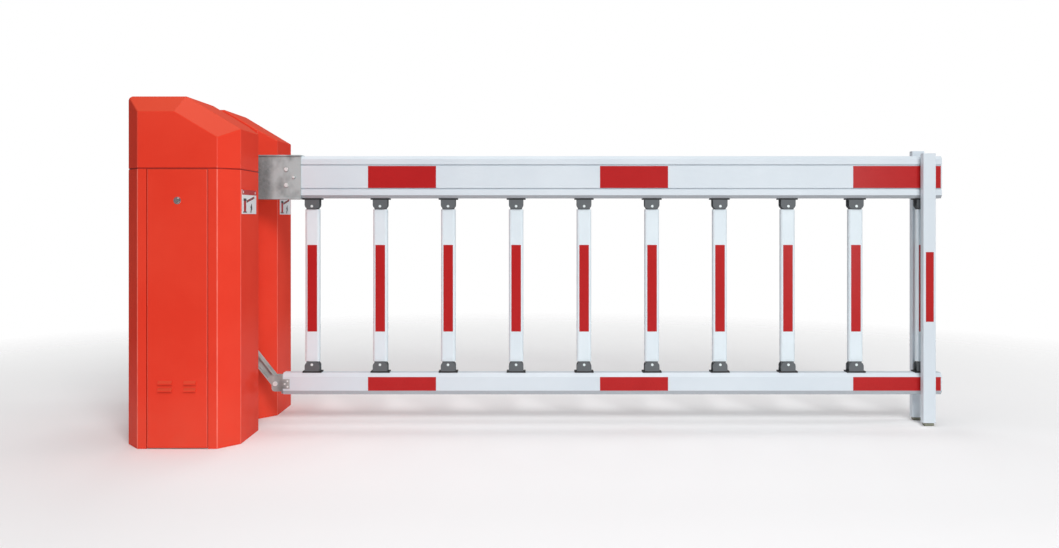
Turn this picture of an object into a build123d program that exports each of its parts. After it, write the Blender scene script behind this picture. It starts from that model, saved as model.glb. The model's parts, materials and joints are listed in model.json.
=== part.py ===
from build123d import *
import os
from math import atan2, cos, degrees, hypot, radians, sin

# Parking barrier gate: two cabinets, one behind the other, with a fenced boom
# between them.  The boom is a top rail on the main shaft, a bottom rail on a
# link below it, ten pickets pinned to both rails, and two legs at its tip.
#
# Millimetres.  +Z is up, +X runs along the boom to its tip, and -Y is the
# door side of the front cabinet.  The origin is on the floor, in the middle
# of the front cabinet's anchor bolts.

os.makedirs("parts", exist_ok=True)

# ---------------------------------------------------------------- dimensions
# Cabinets
cabinet_width = 330.0
cabinet_depth = 300.0
cabinet_height = 1020.0
corner_x = 50.0
corner_y = 60.0
sheet = 2.0
fold_radius = 5.0
cabinet_gap = 105.0
body_top = 804.0
hood_bottom = 808.0
hood_flat_end = 5.0
hood_low_z = 924.0
hood_bevel_drop = 50.0
hood_end_bevel = 10.0

# Doors and locks
door_opening = 178.0
door_gap = 2.5
door_sheet = 1.5
door_edge_depth = 16.0
door_low = 2.0
jamb_depth = 22.0
lintel_low_z = 740.0
door_pivot_inset = 4.0
door_pivot_z = 12.0
door_pin_radius = 2.0
lock_z = 713.0
lock_radius = 6.0
lock_head_radius = 7.5
cam_length = 45.0

# Base plates and anchors
base_thickness = 5.0
anchor_spacing_x = 240.0
anchor_spacing_y = 200.0
anchor_hole_radius = 7.0
cable_hole_radius = 30.0
cable_inset = 75.0
grommet_bore_radius = 22.0

# Machine frames
plate = 6.0
frame_left = -60.0
frame_right = 130.0
frame_top = 850.0
outer_plate_y = 10.0
inner_plate_y = 100.0
foot_overhang = 30.0
inner_foot_overhang = 10.0
spacer_radius = 8.0
shaft_hole_margin = 5.0
lower_hole_margin = 4.0
output_hole_margin = 10.0

# Parallelogram: main shaft, lower pivot, picket pins
main_x = 70.0
main_z = 794.5
picket_length = 511.5
lift_angle = 76.0
shaft_radius = 20.0
lower_shaft_radius = 12.5
running_fit = 0.08
open_pivot_clearance = 0.5

# Drive and balance
lever_length = 90.0
lever_rest_angle = 142.0
lever_hub_radius = 32.0
lever_boss_radius = 28.0
lever_boss_reach = 8.0
pin_overrun = 0.5
output_z = 450.0
output_radius = 15.0
link_pin_radius = 6.0
rod_eye_radius = 18.0
lever_width = 30.0
spring_radius = 28.0
spring_inner_radius = 21.0

# Rails
rail_depth = 45.0
rail_wall = 2.5
rail_tip = 2340.0
cap_thickness = 4.0
top_rail_start = 122.0
top_rail_height = 136.0
top_chamfer_height = 10.0
edge_chamfer = 8.0
groove_depth = 4.0
groove_width = 5.0
upper_groove = 27.0
lower_groove = 103.0
bottom_rail_start = 218.0
bottom_rail_height = 70.0
bottom_chamfer = 13.0
tape_thickness = 0.4
tape_spans = ((492.0, 711.0), (1239.0, 1458.0), (2054.0, 2336.0))

# Pickets and brackets
picket_count = 10
first_picket_x = 310.0
picket_pitch = 219.6
picket_width = 47.0
picket_depth = 22.0
picket_round = 8.0
picket_wall = 2.0
pin_to_rail = 25.5
pin_to_tube = 10.0
tongue_radius = 19.0
tongue_depth = 20.0
pin_radius = 3.0
pin_head_radius = 4.2
pin_head_height = 1.5
bracket_height = 34.0
bracket_flange_length = 61.0
bracket_flange_thickness = 4.5
bracket_corner = 13.0
ear_inner = 11.5
ear_outer = 16.5

# Legs
leg_width = 40.0
leg_depth = 25.0
leg_wall = 2.0
leg_corner = 3.0
leg_gap = 9.0
front_leg_top = 867.0
rear_leg_top = 880.0
leg_cap_thickness = 2.0
leg_pin_end_gap = 6.0
foot_height = 10.0
foot_width = 30.0
foot_depth = 18.0
foot_edge = 1.5

# Lower link
link_bend_x = 193.0
link_width = 28.0
link_thickness = 30.0

# ------------------------------------------------------------ derived places
half_width = cabinet_width / 2
half_depth = cabinet_depth / 2
boom_y = half_depth + cabinet_gap / 2
boom_plane = Plane.XZ.offset(-boom_y)
lower_z = main_z - picket_length
pin_z = main_z - top_rail_height / 2 - pin_to_rail
lower_pin_z = pin_z - picket_length
top_rail_low = pin_z + pin_to_rail
top_rail_high = top_rail_low + top_rail_height
bottom_rail_high = lower_pin_z - pin_to_rail
bottom_rail_low = bottom_rail_high - bottom_rail_height
picket_middle = Plane.XY.offset((pin_z + lower_pin_z) / 2)
picket_x = [first_picket_x + picket_pitch * number for number in range(picket_count)]
wall_hole_radius = shaft_radius + 12.0
lower_hole_radius = lower_shaft_radius + 7.5
lever_pin_x = main_x + lever_length * cos(radians(lever_rest_angle))
lever_pin_rise = lever_length * sin(radians(lever_rest_angle))

# Stations along the shafts, from the door side to the boom
crank_y = (34.0, 44.0)
rod_y = (45.0, 57.0)
drive_lever_y = (58.0, 70.0)
hanger_y = (329.0, 340.0)
spring_lever_y = (341.0, 353.0)
spring_y = sum(hanger_y) / 2

plan_corners = [
    (-half_width + corner_x, -half_depth),
    (half_width - corner_x, -half_depth),
    (half_width, -half_depth + corner_y),
    (half_width, half_depth - corner_y),
    (half_width - corner_x, half_depth),
    (-half_width + corner_x, half_depth),
    (-half_width, half_depth - corner_y),
    (-half_width, -half_depth + corner_y),
]


def upright(y):
    """Work plane at y, drawn in X and Z; extruding from it goes towards -Y."""
    return Plane.XZ.offset(-y)


def mirrored(points):
    """Close a half outline, given from top to bottom, with its mirror image."""
    return points + [(-across, height) for across, height in reversed(points)]


def polar(radius, angle):
    """Offset in X and Z at an angle from +X towards +Z, in degrees."""
    return radius * cos(radians(angle)), radius * sin(radians(angle))


# ------------------------------------------------------------------- cabinets
# Folded sheet wrap, open at the top and at the door
with BuildPart() as front_cabinet:
    with BuildSketch(Plane.XY):
        Polygon(*plan_corners, align=None)
        fillet(vertices(), fold_radius)
        offset(amount=-sheet, kind=Kind.INTERSECTION, mode=Mode.SUBTRACT)
    extrude(amount=body_top)
    with Locations((0, -half_depth, body_top / 2)):
        Box(door_opening, 4 * sheet, body_top, mode=Mode.SUBTRACT)
    # Jambs folded in beside the door, and a lintel that its lock closes behind
    jamb_y = -half_depth + jamb_depth / 2
    jamb_x = (door_opening + sheet) / 2
    with Locations((-jamb_x, jamb_y, body_top / 2), (jamb_x, jamb_y, body_top / 2)):
        Box(sheet, jamb_depth, body_top)
    lintel_height = body_top - lintel_low_z
    with Locations((0, -half_depth + jamb_depth - sheet / 2, lintel_low_z + lintel_height / 2)):
        Box(door_opening, sheet, lintel_height)
    # Holes for the door's hinge pins
    with Locations((0, -half_depth + door_pivot_inset, door_pivot_z)):
        Cylinder(door_pin_radius + running_fit, door_opening + 6 * sheet,
                 rotation=(0, 90, 0), mode=Mode.SUBTRACT)
    # Holes for the two shafts in the wall towards the boom
    with Locations((main_x, half_depth, main_z)):
        Cylinder(wall_hole_radius, 4 * sheet, rotation=(90, 0, 0), mode=Mode.SUBTRACT)
    with Locations((main_x, half_depth, lower_z)):
        Cylinder(lower_hole_radius, 4 * sheet, rotation=(90, 0, 0), mode=Mode.SUBTRACT)
front_cabinet.part.label = "front_cabinet"
export_step(front_cabinet.part, "parts/front_cabinet.step")

with BuildPart() as rear_cabinet:
    mirror(front_cabinet.part, about=boom_plane)
rear_cabinet.part.label = "rear_cabinet"
export_step(rear_cabinet.part, "parts/rear_cabinet.step")

# Hood: flat behind, sloping towards the boom's tip, bevelled over the door
slope_run = half_width - hood_flat_end
slope_drop = cabinet_height - hood_low_z
slope_normal = Vector(slope_drop, 0, slope_run).normalized()
flat_normal = Vector(0, 0, 1)
hood_edge = Vector(hood_flat_end, 0, cabinet_height)
hood_cuts = [
    Plane(origin=hood_edge, z_dir=slope_normal),
    Plane(origin=(hood_end_bevel - half_width, 0, cabinet_height), z_dir=(-1, 0, 1)),
]
bevel_edge = hood_edge + Vector(0, corner_y - half_depth, 0)
for face_normal in (flat_normal, slope_normal):
    bevel_normal = face_normal * corner_y - Vector(0, hood_bevel_drop, 0)
    hood_cuts.append(Plane(origin=bevel_edge, z_dir=bevel_normal))

with BuildPart() as front_hood:
    with BuildSketch(Plane.XY.offset(hood_bottom)):
        Polygon(*plan_corners, align=None)
    extrude(amount=cabinet_height - hood_bottom)
    for hood_cut in hood_cuts:
        split(bisect_by=hood_cut, keep=Keep.BOTTOM)
    upper_edges = edges().filter_by(lambda edge: edge.center().Z > hood_bottom + sheet)
    fillet(upper_edges, fold_radius)
    offset(amount=-sheet, openings=faces().sort_by(Axis.Z)[0], kind=Kind.INTERSECTION)
    # Skirt that drops inside the cabinet, cut away behind the door
    skirt_drop = 18.0
    skirt_inset = 4.0
    skirt_cut_high = body_top + 0.5
    with BuildSketch(Plane.XY.offset(hood_bottom)):
        Polygon(*plan_corners, align=None)
        fillet(vertices(), fold_radius)
        offset(amount=-skirt_inset - sheet, kind=Kind.INTERSECTION, mode=Mode.SUBTRACT)
    extrude(amount=sheet)
    with BuildSketch(Plane.XY.offset(hood_bottom - skirt_drop)):
        Polygon(*plan_corners, align=None)
        fillet(vertices(), fold_radius)
        offset(amount=-skirt_inset, kind=Kind.INTERSECTION, mode=Mode.REPLACE)
        offset(amount=-sheet, kind=Kind.INTERSECTION, mode=Mode.SUBTRACT)
    extrude(amount=skirt_drop + sheet)
    door_cut = door_opening + 4 * sheet
    with Locations((0, -half_depth, skirt_cut_high - skirt_drop / 2)):
        Box(door_cut, 4 * skirt_inset, skirt_drop, mode=Mode.SUBTRACT)
    # The main shaft's hole runs up into the hood
    with Locations((main_x, half_depth, main_z)):
        Cylinder(wall_hole_radius, 4 * skirt_inset, rotation=(90, 0, 0), mode=Mode.SUBTRACT)
front_hood.part.label = "front_hood"
export_step(front_hood.part, "parts/front_hood.step")

with BuildPart() as rear_hood:
    mirror(front_hood.part, about=boom_plane)
rear_hood.part.label = "rear_hood"
export_step(rear_hood.part, "parts/rear_hood.step")

# Base plate in the foot of each cabinet, with anchor holes and a cable hole
with BuildPart() as base_plates:
    with BuildSketch(Plane.XY):
        Polygon(*plan_corners, align=None)
        fillet(vertices(), fold_radius)
        offset(amount=-sheet, kind=Kind.INTERSECTION, mode=Mode.REPLACE)
        with GridLocations(anchor_spacing_x, anchor_spacing_y, 2, 2):
            Circle(anchor_hole_radius, mode=Mode.SUBTRACT)
        cable_y = -half_depth + cable_inset
        with Locations((0, cable_y)):
            Circle(cable_hole_radius, mode=Mode.SUBTRACT)
        # Notch round the door's foot and the jambs
        with Locations((0, -half_depth)):
            Rectangle(door_opening + 2 * sheet, 2 * jamb_depth, mode=Mode.SUBTRACT)
    extrude(amount=base_thickness)
    mirror(about=boom_plane)
base_plates.part.label = "base_plates"
export_step(base_plates.part, "parts/base_plates.step")

# Rubber grommet in each cable hole
with BuildPart() as cable_grommets:
    grommet_lip = 4.0
    with BuildSketch(Plane.XY):
        with Locations((0, cable_y)):
            Circle(cable_hole_radius)
    extrude(amount=base_thickness)
    with BuildSketch(Plane.XY.offset(base_thickness)):
        with Locations((0, cable_y)):
            Circle(cable_hole_radius + grommet_lip)
    extrude(amount=grommet_lip)
    with BuildSketch(Plane.XY):
        with Locations((0, cable_y)):
            Circle(grommet_bore_radius)
    extrude(amount=base_thickness + grommet_lip, mode=Mode.SUBTRACT)
    mirror(about=boom_plane)
cable_grommets.part.label = "cable_grommets"
export_step(cable_grommets.part, "parts/cable_grommets.step")

# Generic pictogram plates on the cabinet sides towards the boom's tip
with BuildPart() as side_plates:
    plate_length = 145.0
    plate_height = 72.0
    plate_thickness = 1.0
    plate_y = -10.0
    plate_z = 711.0
    with Locations((half_width + plate_thickness / 2, plate_y, plate_z),
                   (half_width + plate_thickness / 2, 2 * boom_y - plate_y, plate_z)):
        Box(plate_thickness, plate_length, plate_height)
side_plates.part.label = "side_plates"
export_step(side_plates.part, "parts/side_plates.step")


# --------------------------------------------------------------------- doors
# Pan door: it tilts out on two pins at its foot, and its lock holds the top
door_width = door_opening - 2 * door_gap
door_top_gap = 0.5
door_high = body_top - door_top_gap
with BuildPart() as front_door:
    door_height = door_high - door_low
    door_middle = (door_low + door_high) / 2
    with Locations((0, -half_depth + door_edge_depth / 2, door_middle)):
        door_pan = Box(door_width, door_edge_depth, door_height)
    fillet(door_pan.faces().sort_by(Axis.Y)[0].edges(), door_sheet)
    with Locations((0, -half_depth + door_sheet + door_edge_depth / 2, door_middle)):
        Box(door_width - 2 * door_sheet, door_edge_depth, door_height - 2 * door_sheet,
            mode=Mode.SUBTRACT)
    # Hinge pins
    pin_reach = door_gap + 2 * sheet
    for side in (-1, 1):
        pin_x = side * (door_width / 2 - door_sheet + pin_reach / 2)
        with Locations((pin_x, -half_depth + door_pivot_inset, door_pivot_z)):
            Cylinder(door_pin_radius, pin_reach, rotation=(0, 90, 0))
    # Lock hole
    with Locations((0, -half_depth, lock_z)):
        Cylinder(lock_radius + running_fit, 4 * sheet, rotation=(90, 0, 0), mode=Mode.SUBTRACT)
    # Two columns of two louvres, each a pressed hood over a slot
    louvre_reach = 5.5
    louvre_height = 11.0
    slot_height = 3.5
    slot_end = 2.0
    louvre_columns = ((-35.0, 41.0), (36.5, 35.0))
    louvre_rows = (164.0, 184.5)
    for louvre_x, louvre_width in louvre_columns:
        for louvre_z in louvre_rows:
            with BuildSketch(Plane.YZ.offset(louvre_x - louvre_width / 2)):
                with BuildLine():
                    Polyline((-half_depth + door_sheet, louvre_z + louvre_height),
                             (-half_depth, louvre_z + louvre_height),
                             (-half_depth - louvre_reach, louvre_z + slot_height),
                             (-half_depth - louvre_reach, louvre_z),
                             (-half_depth - louvre_reach + door_sheet, louvre_z),
                             (-half_depth + door_sheet, louvre_z + louvre_height), close=True)
                make_face()
            extrude(amount=louvre_width)
            with Locations((louvre_x, -half_depth, louvre_z + slot_height / 2)):
                Box(louvre_width - 2 * slot_end, 2 * (louvre_reach - 1.0), slot_height,
                    mode=Mode.SUBTRACT)
front_door.part.label = "front_door"
export_step(front_door.part, "parts/front_door.step")

with BuildPart() as rear_door:
    mirror(front_door.part, about=boom_plane)
rear_door.part.label = "rear_door"
export_step(rear_door.part, "parts/rear_door.step")

# Cam lock: slotted head, barrel, and a cam that turns up behind the lintel
with BuildPart() as front_lock:
    head_gap = 0.3
    head_height = 2.0
    head_edge = 0.6
    slot_length = 9.0
    slot_width = 1.6
    cam_thickness = 2.0
    cam_root_radius = 8.0
    cam_arm_width = 14.0
    cam_clearance = 0.5
    cam_face = -half_depth + jamb_depth + cam_clearance
    with BuildSketch(upright(cam_face)):
        with Locations((0, lock_z)):
            Circle(lock_radius)
    extrude(amount=cam_face + half_depth + head_gap)
    with BuildSketch(upright(-half_depth - head_gap)):
        with Locations((0, lock_z)):
            Circle(lock_head_radius)
    extrude(amount=head_height)
    chamfer(faces().sort_by(Axis.Y)[0].edges(), head_edge)
    with Locations((0, -half_depth - head_gap - head_height, lock_z)):
        Box(slot_length, head_height, slot_width, mode=Mode.SUBTRACT)
    with BuildSketch(upright(cam_face + cam_thickness)):
        with Locations((0, lock_z)):
            Circle(cam_root_radius)
        with Locations((cam_length / 2, lock_z)):
            Rectangle(cam_length, cam_arm_width)
    extrude(amount=cam_thickness)
front_lock.part.label = "front_lock"
export_step(front_lock.part, "parts/front_lock.step")

with BuildPart() as rear_lock:
    mirror(front_lock.part, about=boom_plane)
rear_lock.part.label = "rear_lock"
export_step(rear_lock.part, "parts/rear_lock.step")


# ------------------------------------------------------------- machine frames
# Two upright plates on a foot, joined by spacer bars, in each cabinet
with BuildPart() as machine_frames:
    frame_width = frame_right - frame_left
    frame_middle = (frame_left + frame_right) / 2
    foot_low = base_thickness
    plate_low = foot_low + plate
    foot_start = outer_plate_y - foot_overhang
    foot_end = inner_plate_y + plate + inner_foot_overhang
    with Locations((frame_middle, (foot_start + foot_end) / 2, foot_low + plate / 2)):
        Box(frame_width, foot_end - foot_start, plate)
    upright_height = frame_top - plate_low
    for plate_start in (outer_plate_y, inner_plate_y):
        with Locations((frame_middle, plate_start + plate / 2, plate_low + upright_height / 2)):
            Box(frame_width, plate, upright_height)
    spacer_length = inner_plate_y - outer_plate_y
    spacer_y = (inner_plate_y + plate + outer_plate_y) / 2
    left_spacer_x = frame_left + 10.0
    right_spacer_x = frame_right - 12.0
    low_spacer_z = lower_z + 18.0
    with Locations((left_spacer_x, spacer_y, frame_top - 12.0),
                   (left_spacer_x, spacer_y, low_spacer_z),
                   (right_spacer_x, spacer_y, low_spacer_z),
                   (right_spacer_x, spacer_y, 640.0)):
        Cylinder(spacer_radius, spacer_length, rotation=(90, 0, 0))
    # Holes for the shafts and for the gearbox output
    with Locations((main_x, spacer_y, main_z)):
        Cylinder(shaft_radius + shaft_hole_margin, 2 * spacer_length,
                 rotation=(90, 0, 0), mode=Mode.SUBTRACT)
    with Locations((main_x, inner_plate_y + plate / 2, lower_z)):
        Cylinder(lower_shaft_radius + lower_hole_margin, 3 * plate,
                 rotation=(90, 0, 0), mode=Mode.SUBTRACT)
    with Locations((main_x, outer_plate_y + plate / 2, output_z)):
        Cylinder(output_radius + output_hole_margin, 3 * plate,
                 rotation=(90, 0, 0), mode=Mode.SUBTRACT)
    mirror(about=boom_plane)
machine_frames.part.label = "machine_frames"
export_step(machine_frames.part, "parts/machine_frames.step")


bearing_flange = 8.0


def flange_bearing(face_y, outward, height, bore, flange, thickness):
    """Square flange bearing with four screw heads, on a face at face_y."""
    flange_corner = 8.0
    screw_radius = 6.0
    screw_height = 4.0
    boss_radius = flange * 0.36
    screw_spacing = flange * 0.72
    middle = face_y + outward * bearing_flange / 2
    with Locations((main_x, middle, height)):
        flange_box = Box(flange, bearing_flange, flange)
    fillet(flange_box.edges().filter_by(Axis.Y), flange_corner)
    with Locations((main_x, face_y + outward * thickness / 2, height)):
        Cylinder(boss_radius, thickness, rotation=(90, 0, 0))
    head_start = face_y + outward * bearing_flange
    head_plane = upright(head_start + (screw_height if outward > 0 else 0.0))
    with BuildSketch(head_plane) as screw_heads:
        with Locations((main_x, height)):
            with GridLocations(screw_spacing, screw_spacing, 2, 2):
                RegularPolygon(screw_radius, 6)
    extrude(screw_heads.sketch, amount=screw_height)
    with Locations((main_x, face_y, height)):
        Cylinder(bore + running_fit, 4 * thickness, rotation=(90, 0, 0), mode=Mode.SUBTRACT)


with BuildPart() as shaft_bearings:
    main_flange = 90.0
    bearing_width = 18.0
    flange_bearing(inner_plate_y + plate, 1, main_z, shaft_radius, main_flange, bearing_width)
    flange_bearing(outer_plate_y, -1, main_z, shaft_radius, main_flange, bearing_width)
    mirror(about=boom_plane)
shaft_bearings.part.label = "shaft_bearings"
export_step(shaft_bearings.part, "parts/shaft_bearings.step")

with BuildPart() as lower_bearings:
    lower_flange = 70.0
    lower_bearing_width = 14.0
    flange_bearing(inner_plate_y + plate, 1, lower_z, lower_shaft_radius,
                   lower_flange, lower_bearing_width)
    mirror(about=boom_plane)
lower_bearings.part.label = "lower_bearings"
export_step(lower_bearings.part, "parts/lower_bearings.step")

# Plastic bushes that close the wall holes round the shafts
with BuildPart() as wall_bushes:
    bush_lip = 3.0
    bush_lip_width = 6.0
    bush_gap = 2.0
    for bush_z, bush_radius, bush_shaft in ((main_z, wall_hole_radius, shaft_radius),
                                            (lower_z, lower_hole_radius, lower_shaft_radius)):
        with BuildSketch(upright(half_depth)):
            with Locations((main_x, bush_z)):
                Circle(bush_radius)
        extrude(amount=sheet)
        with BuildSketch(upright(half_depth + bush_lip)):
            with Locations((main_x, bush_z)):
                Circle(bush_radius + bush_lip_width)
        extrude(amount=bush_lip)
        with BuildSketch(upright(half_depth + bush_lip)):
            with Locations((main_x, bush_z)):
                Circle(bush_shaft + bush_gap)
        extrude(amount=2 * bush_lip, mode=Mode.SUBTRACT)
    mirror(about=boom_plane)
wall_bushes.part.label = "wall_bushes"
export_step(wall_bushes.part, "parts/wall_bushes.step")


# ------------------------------------------------------- drive and electrics
# Worm gearbox on the front frame's outer plate
gearbox_depth = 114.0
gearbox_middle_y = outer_plate_y - gearbox_depth / 2
gearbox_height = 140.0
with BuildPart() as gearbox:
    gearbox_width = 110.0
    gearbox_corner = 18.0
    with Locations((main_x, gearbox_middle_y, output_z)):
        housing = Box(gearbox_width, gearbox_depth, gearbox_height)
    fillet(housing.edges().filter_by(Axis.Y), gearbox_corner)
    gearbox_face = outer_plate_y - gearbox_depth
    cover_thickness = 6.0
    cover_radius = 36.0
    cover_bolt_orbit = 46.0
    cover_bolt_radius = 4.5
    cover_bolt_height = 4.0
    with Locations((main_x, gearbox_face - cover_thickness / 2, output_z)):
        Cylinder(cover_radius, cover_thickness, rotation=(90, 0, 0))
    with BuildSketch(upright(gearbox_face)):
        with Locations((main_x, output_z)):
            with PolarLocations(cover_bolt_orbit, 6):
                RegularPolygon(cover_bolt_radius, 6)
    extrude(amount=cover_bolt_height)
    shaft_bore_depth = 70.0
    with BuildSketch(upright(outer_plate_y)):
        with Locations((main_x, output_z)):
            Circle(output_radius + running_fit)
    extrude(amount=shaft_bore_depth, mode=Mode.SUBTRACT)
gearbox.part.label = "gearbox"
export_step(gearbox.part, "parts/gearbox.step")

# Finned motor hanging under the gearbox
with BuildPart() as drive_motor:
    motor_length = 180.0
    motor_top = output_z - gearbox_height / 2
    motor_core = 46.0
    motor_flange = 10.0
    fin_count = 28
    fin_height = 7.0
    fin_root = 2.0
    fin_thickness = 3.0
    fan_cover_length = 34.0
    fan_cover_edge = 8.0
    motor_y = gearbox_middle_y - 4.0
    with BuildSketch(Plane.XY.offset(motor_top - motor_length + fan_cover_length)):
        with Locations((main_x, motor_y)):
            Circle(motor_core)
            with PolarLocations(motor_core + (fin_height - fin_root) / 2, fin_count):
                Rectangle(fin_height + fin_root, fin_thickness)
    extrude(amount=motor_length - fan_cover_length - motor_flange)
    with BuildSketch(Plane.XY.offset(motor_top - motor_flange)):
        with Locations((main_x, motor_y)):
            Circle(motor_core + fin_height)
    extrude(amount=motor_flange)
    with BuildSketch(Plane.XY.offset(motor_top - motor_length)):
        with Locations((main_x, motor_y)):
            Circle(motor_core + fin_height + 1.0)
    extrude(amount=fan_cover_length)
    fillet(faces().sort_by(Axis.Z)[0].edges(), fan_cover_edge)
drive_motor.part.label = "drive_motor"
export_step(drive_motor.part, "parts/drive_motor.step")

# Control box with its lid, beside the shaft
control_left = -130.0
control_right = 50.0
control_low = 560.0
control_high = 735.0
control_front = -96.0
control_corner = 6.0
with BuildPart() as control_box:
    control_wall = 3.0
    control_middle = ((control_left + control_right) / 2, (control_front + outer_plate_y) / 2,
                      (control_low + control_high) / 2)
    with Locations(control_middle):
        shell = Box(control_right - control_left, outer_plate_y - control_front,
                    control_high - control_low)
    fillet(shell.edges().filter_by(Axis.Y), control_corner)
    offset(amount=-control_wall, openings=faces().sort_by(Axis.Y)[0], kind=Kind.INTERSECTION)
    # Cable glands under the box
    gland_radius = 9.0
    gland_length = 14.0
    glands_at = (-100.0, -65.0, -30.0)
    for gland_x in glands_at:
        with Locations((gland_x, control_front / 2, control_low - gland_length / 2)):
            Cylinder(gland_radius, gland_length)
control_box.part.label = "control_box"
export_step(control_box.part, "parts/control_box.step")

with BuildPart() as control_box_lid:
    lid_thickness = 5.0
    lid_edge = 1.5
    with Locations((control_middle[0], control_front - lid_thickness / 2, control_middle[2])):
        lid_plate = Box(control_right - control_left, lid_thickness, control_high - control_low)
    fillet(lid_plate.edges().filter_by(Axis.Y), control_corner)
    chamfer(faces().sort_by(Axis.Y)[0].edges(), lid_edge)
control_box_lid.part.label = "control_box_lid"
export_step(control_box_lid.part, "parts/control_box_lid.step")

# Two limit switches beside the cam at the shaft's end
switch_face = outer_plate_y - bearing_flange
with BuildPart() as limit_switches:
    switch_width = 16.0
    switch_depth = 34.0
    switch_height = 30.0
    switch_offset = 41.0
    finger_tip = 24.5
    finger_width = 6.0
    finger_height = 8.0
    finger_inset = 5.0
    finger_length = switch_offset - finger_tip
    for side in (-1, 1):
        with Locations((main_x + side * switch_offset, switch_face - switch_depth / 2, main_z)):
            Box(switch_width, switch_depth, switch_height)
        finger_x = main_x + side * (finger_tip + finger_length / 2)
        with Locations((finger_x, switch_face - switch_depth + finger_inset, main_z)):
            Box(finger_length, finger_width, finger_height)
limit_switches.part.label = "limit_switches"
export_step(limit_switches.part, "parts/limit_switches.step")

# Rubber buffers that the drive lever comes to at each end of its travel
with BuildPart() as travel_buffers:
    buffer_radius = 12.0
    buffer_orbit = 60.0
    buffer_gap = 1.5
    buffer_overrun = 4.0
    buffer_turn = degrees((lever_width / 2 + buffer_radius + buffer_gap) / buffer_orbit)
    buffer_end = drive_lever_y[1] + buffer_overrun
    for angle in (lever_rest_angle - buffer_turn, lever_rest_angle + lift_angle + buffer_turn):
        buffer_x, buffer_rise = polar(buffer_orbit, angle)
        with BuildSketch(upright(buffer_end)):
            with Locations((main_x + buffer_x, main_z + buffer_rise)):
                Circle(buffer_radius)
        extrude(amount=buffer_end - outer_plate_y - plate)
travel_buffers.part.label = "travel_buffers"
export_step(travel_buffers.part, "parts/travel_buffers.step")


def lever_blank(span, pivot_height, hub_reach):
    """Lever at its rest angle: an arm with a round end, and a hub round its shaft."""
    thickness = span[1] - span[0]
    arm_x, arm_rise = polar(lever_length, lever_rest_angle)
    with BuildSketch(upright(span[1])) as blank:
        with Locations((main_x, pivot_height)):
            Circle(lever_hub_radius)
        with Locations((main_x + arm_x / 2, pivot_height + arm_rise / 2)):
            Rectangle(lever_length, lever_width, rotation=lever_rest_angle)
        with Locations((main_x + arm_x, pivot_height + arm_rise)):
            Circle(lever_width / 2)
    extrude(blank.sketch, amount=thickness)
    with Locations((main_x, (span[0] + span[1]) / 2, pivot_height)):
        Cylinder(lever_boss_radius, thickness + 2 * hub_reach, rotation=(90, 0, 0))


def lever_pin(start_y, end_y, height):
    """Pin along Y at the lever's end, from start_y to end_y."""
    with BuildSketch(upright(end_y)) as pin_end:
        with Locations((lever_pin_x, height)):
            Circle(link_pin_radius)
    extrude(pin_end.sketch, amount=end_y - start_y)


# Crank on the gearbox output, with its shaft and its pin
with BuildPart() as output_crank:
    lever_blank(crank_y, output_z, 0.0)
    with BuildSketch(upright(crank_y[0])):
        with Locations((main_x, output_z)):
            Circle(output_radius)
    bore_end_gap = 2.0
    extrude(amount=crank_y[0] - outer_plate_y + shaft_bore_depth - bore_end_gap)
    lever_pin(crank_y[1], rod_y[1] + pin_overrun, output_z + lever_pin_rise)
output_crank.part.label = "output_crank"
export_step(output_crank.part, "parts/output_crank.step")


def eye_rod(span, top_z, bottom_z, rod_radius):
    """Eye round the lever's pin, with a rod that hangs from it."""
    with BuildSketch(upright(span[1])) as eye:
        with Locations((lever_pin_x, top_z)):
            Circle(rod_eye_radius)
    extrude(eye.sketch, amount=span[1] - span[0])
    with BuildSketch(Plane.XY.offset(bottom_z)) as rod:
        with Locations((lever_pin_x, sum(span) / 2)):
            Circle(rod_radius)
    extrude(rod.sketch, amount=top_z - bottom_z)


def eye_bore(span, height):
    """Bore of an eye, a running fit on the lever's pin."""
    with Locations((lever_pin_x, sum(span) / 2, height)):
        Cylinder(link_pin_radius + running_fit, 2 * (span[1] - span[0]),
                 rotation=(90, 0, 0), mode=Mode.SUBTRACT)


# Tie rod from the crank to the lever on the main shaft
with BuildPart() as tie_rod:
    rod_radius = 5.5
    rod_low = output_z + lever_pin_rise
    rod_high = main_z + lever_pin_rise
    eye_rod(rod_y, rod_high, rod_low, rod_radius)
    with BuildSketch(upright(rod_y[1])):
        with Locations((lever_pin_x, rod_low)):
            Circle(rod_eye_radius)
    extrude(amount=rod_y[1] - rod_y[0])
    # Lock nuts of the length adjustment
    nut_radius = 9.0
    nut_height = 8.0
    eye_to_nut = 28.0
    for nut_z in (rod_low + eye_to_nut, rod_high - eye_to_nut - nut_height):
        with BuildSketch(Plane.XY.offset(nut_z)):
            with Locations((lever_pin_x, sum(rod_y) / 2)):
                RegularPolygon(nut_radius, 6)
        extrude(amount=nut_height)
    eye_bore(rod_y, rod_low)
    eye_bore(rod_y, rod_high)
tie_rod.part.label = "tie_rod"
export_step(tie_rod.part, "parts/tie_rod.step")

# Hanger from the spring lever, with a disc that holds the spring's upper end
spring_disc = 8.0
spring_seat_radius = 23.0
spring_high = main_z - 103.0
spring_gap = 0.5
with BuildPart() as spring_hanger:
    hanger_radius = 5.0
    hanger_low = spring_high + spring_gap
    eye_rod(hanger_y, main_z + lever_pin_rise, hanger_low, hanger_radius)
    with BuildSketch(Plane.XY.offset(hanger_low)):
        with Locations((lever_pin_x, spring_y)):
            Circle(spring_seat_radius)
    extrude(amount=spring_disc)
    eye_bore(hanger_y, main_z + lever_pin_rise)
spring_hanger.part.label = "spring_hanger"
export_step(spring_hanger.part, "parts/spring_hanger.step")

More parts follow.
